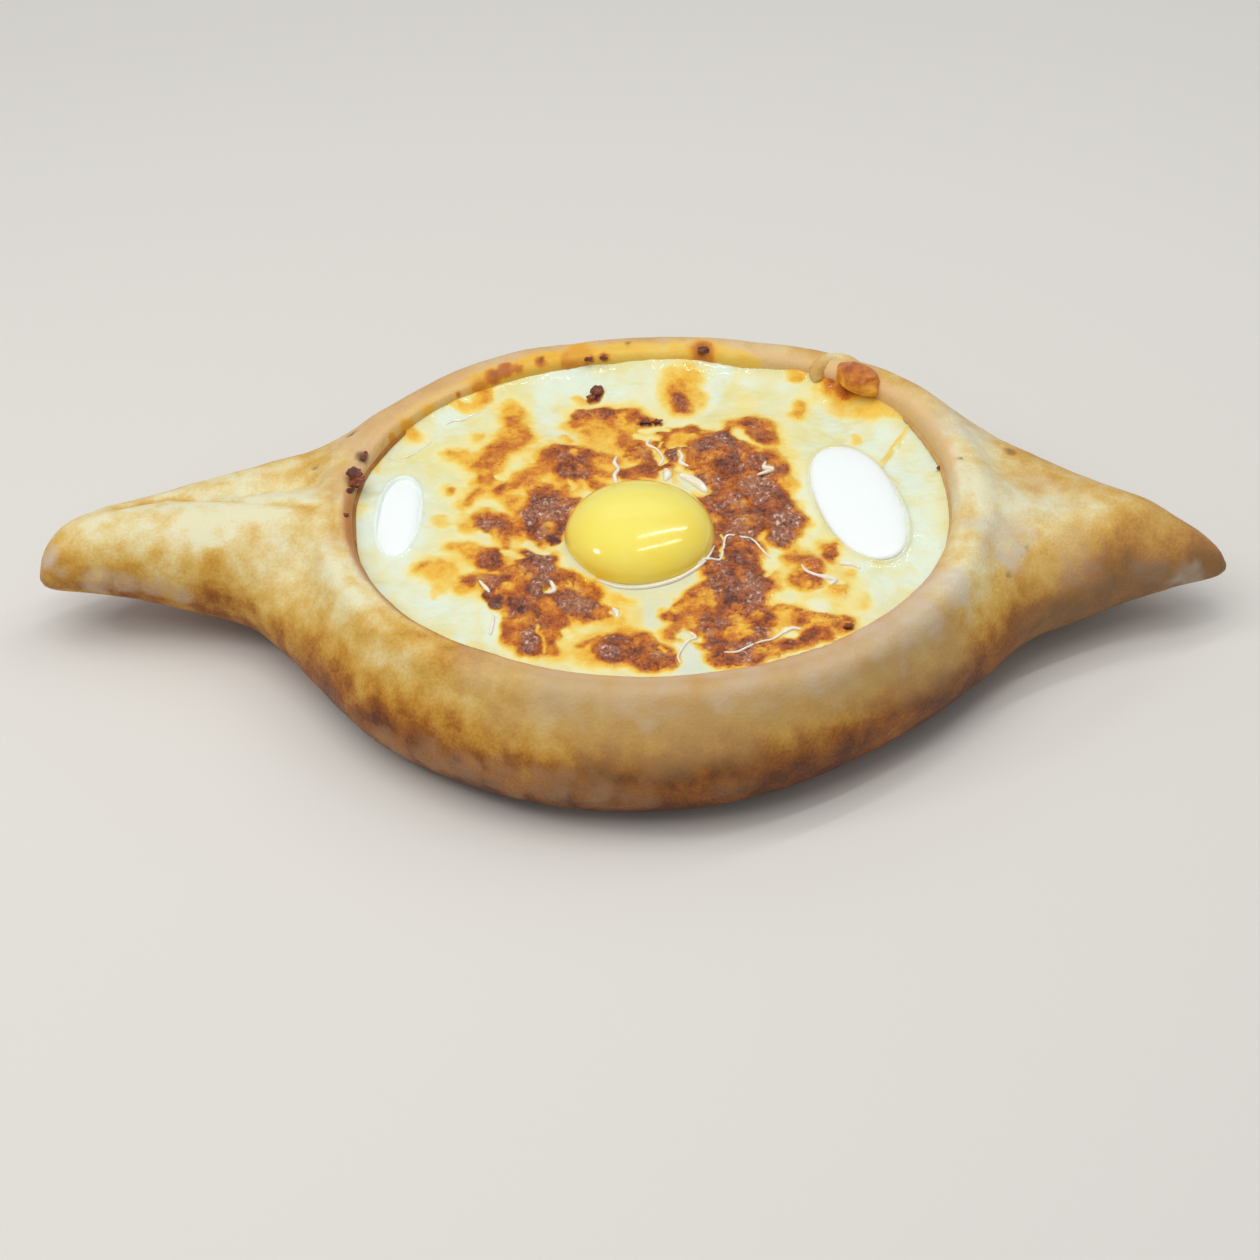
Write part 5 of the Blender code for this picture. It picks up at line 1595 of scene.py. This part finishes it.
# %% Dome meshes
def dome_mesh(centre, radii, rise, depth, around, levels, squareness=2.0, turn=0.0,
              uneven=0.0, seed=0, lump=0.8, fullness=2.0):
    """A closed rounded body; rise and depth are its height above and below its waist."""
    tilt = np.linspace(-math.pi / 2, math.pi / 2, levels + 2)[1:-1]
    t = np.linspace(0, 2 * math.pi, around, endpoint=False)
    tilt_grid, t_grid = np.meshgrid(tilt, t, indexing="ij")
    flat = np.cos(tilt_grid) ** (2 / squareness)
    up = np.sign(tilt_grid) * np.abs(np.sin(tilt_grid)) ** (2 / squareness)
    waist = (np.cos(t_grid), np.sin(t_grid))
    plan_x, plan_y = (np.sign(v) * np.abs(v) ** (2 / fullness) for v in waist)
    a = radii[0] * flat * plan_x
    b = radii[1] * flat * plan_y
    c, s = math.cos(turn), math.sin(turn)
    z = np.where(tilt_grid > 0, rise, depth) * up
    corners = np.stack([(a * c - b * s).ravel(), (a * s + b * c).ravel(), z.ravel()], axis=1)
    corners = np.concatenate([corners, [[0, 0, -depth], [0, 0, rise]]])
    lumps = layered_noise(corners + np.array(centre), max(radii) * lump, seed, 2)
    corners *= 1 + uneven * lumps[:, None]
    return corners + np.array(centre), ring_faces(levels, around)


def ring_faces(levels, around):
    """Quads between equal rings, and a fan to each of the two end corners that follow the rings."""
    faces = []
    for level in range(levels - 1):
        for i in range(around):
            j = (i + 1) % around
            low, high = level * around, (level + 1) * around
            faces.append((low + i, low + j, high + j, high + i))
    last, ends = (levels - 1) * around, levels * around
    for i in range(around):
        j = (i + 1) % around
        faces.append((j, i, ends))
        faces.append((last + i, last + j, ends + 1))
    return faces


print("a small dome has", len(dome_mesh((0, 0, 0), (1, 1), 1, 1, 8, 4)[1]), "faces")

# %% Strand meshes
def strand_mesh(path, around=10, per_span=7):
    """A tube through (x, y, z, radius) points, in metres, with rounded ends."""
    path = np.array(path, dtype=float)
    padded = np.concatenate([2 * path[:1] - path[1:2], path, 2 * path[-1:] - path[-2:-1]])
    line = []
    for i in range(len(path) - 1):
        p0, p1, p2, p3 = padded[i : i + 4]
        for t in np.arange(per_span) / per_span:
            bend = (2 * p0 - 5 * p1 + 4 * p2 - p3) * t * t + (3 * p1 - p0 - 3 * p2 + p3) * t**3
            line.append(p1 + ((p2 - p0) * t + bend) / 2)
    line = np.array([*line, path[-1]])
    along = np.gradient(line[:, :3], axis=0)
    along /= np.linalg.norm(along, axis=1)[:, None]
    side = np.cross(along, [0, 0, 1.0])
    side /= np.linalg.norm(side, axis=1)[:, None]
    up = np.cross(side, along)
    t = np.linspace(0, 2 * math.pi, around, endpoint=False)
    taper = np.ones(len(line))
    taper[[0, -1]] = 0.55
    radius = (np.maximum(line[:, 3], 0.1 * MM) * taper)[:, None, None]
    circle = np.cos(t)[None, :, None] * side[:, None, :]
    circle = circle + np.sin(t)[None, :, None] * up[:, None, :]
    rings = line[:, None, :3] + radius * circle
    ends = line[[0, -1], :3] + along[[0, -1]] * radius[[0, -1], 0] * [[-0.6], [0.6]]
    return np.concatenate([rings.reshape(-1, 3), ends]), ring_faces(len(line), around)


def joined(meshes):
    """Several meshes as one list of corners and faces."""
    corners, faces, first = [], [], 0
    for some_corners, some_faces in meshes:
        corners.append(some_corners)
        faces += [tuple(first + i for i in face) for face in some_faces]
        first += len(some_corners)
    return np.concatenate(corners), faces


def cheese_height(x, y):
    """Height of the dressed cheese at a place in millimetres."""
    return heights[np.argmin((across - x) ** 2 + (back - y) ** 2)]


print("cheese under the right pat lies", round(cheese_height(58, 4) / MM, 1), "mm high")

# %% [markdown]
# ## Yolk
# A raw yolk is a low dome held by its own skin. Its crown is painted palest, as a painted
# highlight, and it is deeper towards its foot, where there is more yolk behind the skin. A clear
# coat is its wet shine, and a little light scatters inside it.

# %% Yolk
YOLK_WAIST_RISE = 0.0046
DEEP_YOLK_PLACES = [
    (13, -14, 36, 7, 0.8), (6, -24, 34, 8, 0.7), (-13, -10, 35, 7, 0.6), (8, 8, 37, 6, 0.35),
    (20, -4, 34, 6, 0.3), (-6, -22, 34, 6, 0.5),
]
YOLK_FOOT, YOLK_CROWN_PAINTED_HIGHLIGHT = paint(255, 228, 88), paint(250, 234, 100)
YOLK_DEEP, YOLK_LIGHT = paint(252, 220, 52), paint(253, 238, 130)
yolk_waist = yolk_low.z + YOLK_WAIST_RISE
yolk_radii = (
    (yolk_high.x - yolk_low.x) / 2 + 0.4 * MM, (yolk_high.y - yolk_low.y) / 2 + 0.2 * MM,
)
yolk_place = (yolk_middle.x, yolk_middle.y, yolk_waist)
yolk_corners, yolk_faces = dome_mesh(
    yolk_place, yolk_radii, yolk_high.z - yolk_waist, YOLK_WAIST_RISE, around=128, levels=64,
    squareness=2.1, uneven=0.008, seed=401,
)
yolk = make_piece("egg_yolk", yolk_corners, yolk_faces)
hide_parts("yolk")


def yolk_material():
    material, tree, shader = new_material("raw_yolk")
    soft = speckle(tree, 90.0, 2.0)
    # Paler on the crown, as a painted highlight.
    color = mix_color(tree, mask_node(tree, "crown"), YOLK_FOOT, YOLK_CROWN_PAINTED_HIGHLIGHT)
    color = mix_color(tree, times(tree, mask_node(tree, "deep"), 0.65), color, YOLK_DEEP)
    color = mix_color(tree, times(tree, soft["mask"], 0.25), color, YOLK_LIGHT)
    feed(tree, shader.inputs["Base Color"], color)
    set_sockets(shader, {
        "Roughness": 0.20, "Coat Weight": 1.0, "Coat Roughness": 0.09,
        "Subsurface Weight": 0.20, "Subsurface Radius": (0.005, 0.004, 0.001),
        "Subsurface Scale": 0.6,
    })
    return material


dress(yolk, yolk_material(), {
    # Height on the yolk, for the painted highlight on its crown.
    "crown": ramp(yolk_corners[:, 2], yolk_waist + 1.0 * MM, yolk_high.z - 1.5 * MM),
    "deep": spots(yolk_corners, DEEP_YOLK_PLACES),
})
print("yolk", [round(r * 2 / MM, 1) for r in yolk_radii], "mm across")

# %% [markdown]
# ## White pats
# Two soft ovals of pale butter lie half sunk in the cheese. The right one is larger, with a
# flat top and a rounded edge. The left one has softened more, and its edge runs into the
# cheese. Both come from the same dome, made fuller than a ball so that the tops are flat.

# %% White pats
BUTTER_WHITE, BUTTER_CREAM = paint(247, 255, 255), paint(242, 253, 250)


def pat_material():
    material, tree, shader = new_material("pale_butter")
    soft = speckle(tree, 160.0, 3.0)
    fine = speckle(tree, 900.0, 3.0)
    color = mix_color(tree, times(tree, soft["mask"], 0.5), BUTTER_WHITE, BUTTER_CREAM)
    feed(tree, shader.inputs["Base Color"], color)
    vary_roughness(tree, shader, soft["mask"], 0.30, 0.42)
    set_sockets(shader, {
        "Coat Weight": 0.3, "Coat Roughness": 0.2, "Subsurface Weight": 0.3,
        "Subsurface Radius": (0.003, 0.003, 0.003), "Subsurface Scale": 0.6,
    })
    add_bump(tree, shader, fine["height"], strength=0.12, distance=0.0004)
    return material


butter = pat_material()
for node_name, pat in PATS.items():
    low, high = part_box(node_name)
    middle = (low + high) / 2
    half_up = (high.z - low.z) / 2
    pat_corners, pat_faces = dome_mesh(
        tuple(middle), pat["half"], half_up, half_up, around=96, levels=40, squareness=2.8,
        turn=math.radians(pat["turn"]), uneven=pat["uneven"], seed=pat["seed"],
        fullness=pat["fullness"],
    )
    piece = make_piece(node_name.replace("white", "soft"), pat_corners, pat_faces)
    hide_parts(node_name)
    piece.data.materials.append(butter)
    print(piece.name, "at", [round(c / MM, 1) for c in middle])

# %% [markdown]
# ## Browned drop
# At the back right some cheese bubbled over the rim and browned there, as a lumpy drop. It is a
# small flattened ball, made very uneven, and takes the colours of toasted cheese.

# %% Rim drop
def browned_material():
    material, tree, shader = new_material("browned_cheese_bits")
    coarse = speckle(tree, 520.0, 4.0)
    fine = speckle(tree, 1700.0, 3.0)
    tone = math_node(tree, "ADD", swing(tree, coarse["mask"], 0.12), mask_node(tree, "tone"))
    # A painted sheen of reflected light, where the mask says.
    purple = mask_node(tree, "purple")
    toast = place_group(tree, TOAST, tone=tone, purple=purple, speckle=fine["mask"])
    feed(tree, shader.inputs["Base Color"], toast["color"])
    vary_roughness(tree, shader, fine["mask"], 0.32, 0.55)
    set_sockets(shader, {"Coat Weight": 0.5, "Coat Roughness": 0.18})
    height = two_grains(tree, coarse, fine, 1.6)
    add_bump(tree, shader, height, strength=0.5, distance=0.0008)
    return material


def add_browned(name, corners, faces, tone, purple):
    """A piece of browned cheese with a tone and a mask of painted sheen."""
    piece = make_piece(name, corners, faces)
    dress(piece, browned, {"tone": tone, "purple": purple})
    return piece


browned = browned_material()
BLOB_RADII, BLOB_RISE, BLOB_DEPTH, BLOB_SUNK = (0.0074, 0.0047), 0.0038, 0.0034, 0.0004
BLOB_TURN = math.radians(-48)
blob_low, blob_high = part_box("rim_cheese")
blob_middle = (blob_low + blob_high) / 2
blob_place = (blob_middle.x, blob_middle.y, blob_middle.z - BLOB_SUNK)
blob_corners, blob_faces = dome_mesh(
    blob_place, BLOB_RADII, BLOB_RISE, BLOB_DEPTH, around=96, levels=56, turn=BLOB_TURN,
    uneven=0.13, seed=601, lump=0.45,
)
high_on_blob = ramp(blob_corners[:, 2], blob_middle.z - 1 * MM, blob_middle.z + 3 * MM)
blob_tone = 0.44 + 0.14 * high_on_blob + 0.06 * soft_noise(blob_corners, 2.5 * MM, 611)
# The top of the drop carries a little painted sheen.
blob = add_browned("rim_blob", blob_corners, blob_faces, blob_tone, 0.15 * high_on_blob)
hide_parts("rim_cheese")
print("drop at", [round(c / MM, 1) for c in blob_place])

# %% [markdown]
# ## Curl of dough
# Beside the drop a thin pinch of dough curls along the inner edge of the rim. It is a strand of
# the same dough as the crust, thickest in the middle. Only the masks that it needs are given to
# it, and a mask that a mesh lacks reads as nought.

# %% Curl
CURL = [
    (52.0, 56.0, 32.0, 1.4), (51.6, 57.6, 33.8, 2.1), (52.8, 59.2, 34.9, 2.3),
    (55.8, 61.0, 35.3, 2.1), (60.2, 60.2, 35.4, 1.7), (64.0, 56.5, 35.8, 0.8),
]
curl_corners, curl_faces = strand_mesh(np.array(CURL) * MM, around=16, per_span=8)
curl = make_piece("rim_curl", curl_corners, curl_faces)
dress(curl, dough, {
    "baked_and_shade": 0.26 + 0.14 * soft_noise(curl_corners, 3 * MM, 621),
    "peach": 0.6 * ramp(soft_noise(curl_corners, 3 * MM, 622), -0.6, 0.4),
})
print("curl:", len(curl_faces), "faces")

# %% [markdown]
# ## Dried edge of the pool
# Where the cheese meets the dough, a thin line of both dried hard along the edge. It is a strand
# laid round the opening, of uneven thickness, and left open at the back, where the cheese runs
# up the wall without a step.

# %% Edge line
BEAD_POINTS, BEAD_RADIUS, BEAD_RAISED, BEAD_ENDS = 240, 0.00072, 0.0002, 0.040


def edge_bead():
    """Tube along the edge of the pool, from the back right round the front to the back left."""
    line, _ = opening_line(BEAD_POINTS)
    line = np.roll(line, -(BEAD_POINTS // 4), axis=0)
    line = line[line[:, 1] < BEAD_ENDS]
    uneven = soft_noise(np.column_stack([line, 0 * line[:, 0]]), 9 * MM, 641)
    thick = BEAD_RADIUS * (1 + 0.35 * uneven)
    high = [cheese_height(x / MM, y / MM) for x, y in line - DRAWN_SHIFT]
    path = np.column_stack([line - DRAWN_SHIFT, np.array(high) + BEAD_RAISED, thick])
    return strand_mesh(path, around=8, per_span=2)


bead_corners, bead_faces = edge_bead()
bead = make_piece("pool_edge", bead_corners, bead_faces)
bead_x = bead_corners[:, 0] / MM
bead_patches = soft_noise(bead_corners, 8 * MM, 642)
dress(bead, dough, {
    "baked_and_shade": 0.46 + 0.20 * ramp(bead_x, -36, -58) + 0.14 * bead_patches,
    "peach": 0.7 * ramp(bead_x, -52, -30),
    "lip": 0.5 * ramp(bead_x, -34, -52),
})
print("edge line:", len(bead_faces), "faces")

# %% [markdown]
# ## Burnt crumbs
# Scorched crumbs lie on the cheese and along the rim. They are small, but they are real bits
# with their own shadows, so they are real mesh: very uneven little domes, a third sunk in. A
# crumb whose height is 0 takes the height of the cheese.

# %% Crumbs
CRUMBS = [
    (-7.6, 55.2, 0, 2.0, 1.5, 70), (-9.2, 51.6, 0, 1.3, 1.0, 80), (52.4, -44.8, 0, 1.3, 0.9, 0),
    (5.2, 41.5, 0, 1.2, 0.7, -15), (8.3, 41.6, 0, 1.2, 0.7, 10), (21.6, 66.2, 35.9, 1.6, 1.2, 20),
    (-69.7, 14.0, 36.2, 2.4, 1.7, 80), (-68.9, 10.8, 36.0, 2.1, 1.5, 50),
    (-70.3, 7.4, 36.2, 1.1, 0.9, 0), (-67.7, 22.0, 36.0, 1.9, 0.7, 80),
    (-70.7, -3.3, 37.0, 0.8, 0.6, 0), (-9.7, 64.6, 35.2, 1.0, 0.8, 0),
    (-5.6, 65.1, 35.2, 1.0, 0.7, 0), (80.2, 15.4, 32.6, 0.8, 0.6, 0),
]
CRUMB_RAISED, CRUMB_HEIGHT, CRUMB_UNEVEN = 0.35, 0.6, 0.42


def crumb_mesh(index, crumb):
    """A crumb from its place, half lengths and turn, on the cheese or at a height of its own."""
    x, y, z, long_half, short_half, turn = crumb
    bed = z * MM if z else cheese_height(x, y)
    radii = (long_half * MM, short_half * MM)
    centre = (x * MM, y * MM, bed + CRUMB_RAISED * short_half * MM)
    height = CRUMB_HEIGHT * short_half * MM
    return dome_mesh(
        centre, radii, height, height, around=24, levels=14, turn=math.radians(turn),
        uneven=CRUMB_UNEVEN, seed=701 + index, lump=0.5,
    )


crumb_corners, crumb_faces = joined([crumb_mesh(i, crumb) for i, crumb in enumerate(CRUMBS)])
crumb_tone = 0.82 + 0.12 * soft_noise(crumb_corners, 1 * MM, 631)
add_browned("burnt_crumbs", crumb_corners, crumb_faces, crumb_tone, 0 * crumb_tone)
print(len(CRUMBS), "crumbs,", len(crumb_faces), "faces")

# %% [markdown]
# ## Strands of egg white and painted glints
# Where the egg was cracked on, thin ropes of white set over the hot cheese. Some of them are
# painted highlights: white streaks laid where glints fall on the wet cheese. Each is laid on the
# cheese's own height, half sunk in it, through a few points with a thickness at each.

# %% Egg white strands and painted glints
# Real strands of egg white, and white streaks that are painted highlights where glints fall.
STRANDS_AND_GLINTS = [
    [(-2.5, 28, 0.36), (-3.2, 25, 0.58), (-2.2, 22, 0.5), (-3.2, 19, 0.65), (-2.8, 15.5, 0.43),
     (-2.6, 13, 0.29)],
    [(22, -52.5, 0.22), (25, -52.8, 0.32), (28, -51.3, 0.32), (31, -49, 0.29), (34, -48, 0.32),
     (36.6, -45.6, 0.45), (38.8, -44.4, 0.55), (41, -44.8, 0.3)],
    [(16.5, -21.3, 0.3), (18.0, -19, 0.4), (20, -18.5, 0.32), (22.5, -18, 0.36),
     (23.5, -14, 0.32), (24.5, -9.5, 0.32), (28, -9, 0.32), (31, -10.5, 0.32), (33, -14, 0.29),
     (35, -17, 0.25)],
    [(42.5, -21, 0.25), (43.5, -23.5, 0.4), (46, -25, 0.54), (48.5, -26, 0.79),
     (50.5, -27, 0.65), (49, -29, 0.43)],
    [(14, -44, 0.29), (15.5, -46, 0.43), (13.5, -48, 0.43), (12, -51, 0.4), (11, -54, 0.32),
     (11.5, -56.5, 0.25)],
    [(-4.5, -34.3, 0.22), (-3.5, -36, 0.79), (-3.2, -38, 0.36)],
    [(-19.5, -25.5, 0.36), (-18.6, -28, 0.72), (-20, -29.5, 0.5)],
    [(-33.2, -37, 0.29), (-33.5, -40, 0.5), (-34, -43.5, 0.36)],
    [(-47.5, 42, 0.22), (-45.5, 43.5, 0.43), (-43, 44, 0.36), (-40, 46, 0.25), (-36, 48, 0.18)],
    [(-59, 28, 0.18), (-56, 30, 0.29), (-53, 33, 0.29), (-51, 35, 0.22)],
    [(6.5, 36, 0.29), (5.5, 33, 0.43), (8, 30.5, 0.36), (9.5, 26, 0.36), (8.5, 23, 0.36)],
    [(13.5, 29, 0.29), (14.5, 26, 0.58), (14, 23.5, 0.65), (16, 21, 0.29)],
    [(10, 20, 0.8), (10.5, 17.6, 1.15), (9.8, 15, 0.6)],
    [(13.6, 17.2, 0.7), (16, 15.6, 1.25), (18.4, 13.4, 1.35), (20.4, 10.6, 0.8)],
    [(36, 22, 0.29), (35.5, 19, 0.72), (37.5, 17.5, 0.65), (33.5, 17, 0.36)],
    [(52, -20, 0.36), (55, -20.5, 0.58), (57, -22, 0.36)],
    [(-37, -25, 0.36), (-35, -27.5, 0.58), (-34.5, -29, 0.29)],
    [(-8.4, -23.9, 0.25), (-2.3, -26.7, 0.46), (4.4, -27.3, 0.56), (10.9, -25.6, 0.56),
     (16.4, -21.6, 0.56), (19.5, -17.6, 0.42), (21.4, -12.9, 0.2)],
]
STRAND_RAISED = 0.10
# The white of set egg, also the colour of the painted glints.
SET_WHITE, SET_CREAM = paint(250, 246, 232), paint(240, 228, 206)


def laid_on_cheese(strand):
    """A tube through a strand's points (x, y, radius), at the height of the cheese."""
    laid = []
    for x, y, radius in strand:
        height = cheese_height(x, y) + STRAND_RAISED * radius * MM
        laid.append((x * MM, y * MM, height, radius * MM))
    return strand_mesh(laid)


def strand_material():
    material, tree, shader = new_material("egg_white_and_glints")
    soft = speckle(tree, 500.0, 3.0)
    color = mix_color(tree, soft["mask"], SET_WHITE, SET_CREAM)
    feed(tree, shader.inputs["Base Color"], color)
    vary_roughness(tree, shader, soft["mask"], 0.16, 0.32)
    set_sockets(shader, {
        "Coat Weight": 1.0, "Coat Roughness": 0.06, "Subsurface Weight": 0.2,
        "Subsurface Radius": (0.002, 0.002, 0.002), "Subsurface Scale": 0.5,
    })
    add_bump(tree, shader, soft["height"], strength=0.2, distance=0.0005)
    return material


strand_corners, strand_faces = joined([laid_on_cheese(strand) for strand in STRANDS_AND_GLINTS])
strands = make_piece("egg_white_strands_and_glints", strand_corners, strand_faces)
strands.data.materials.append(strand_material())
print(len(STRANDS_AND_GLINTS), "strands,", len(strand_faces), "faces")
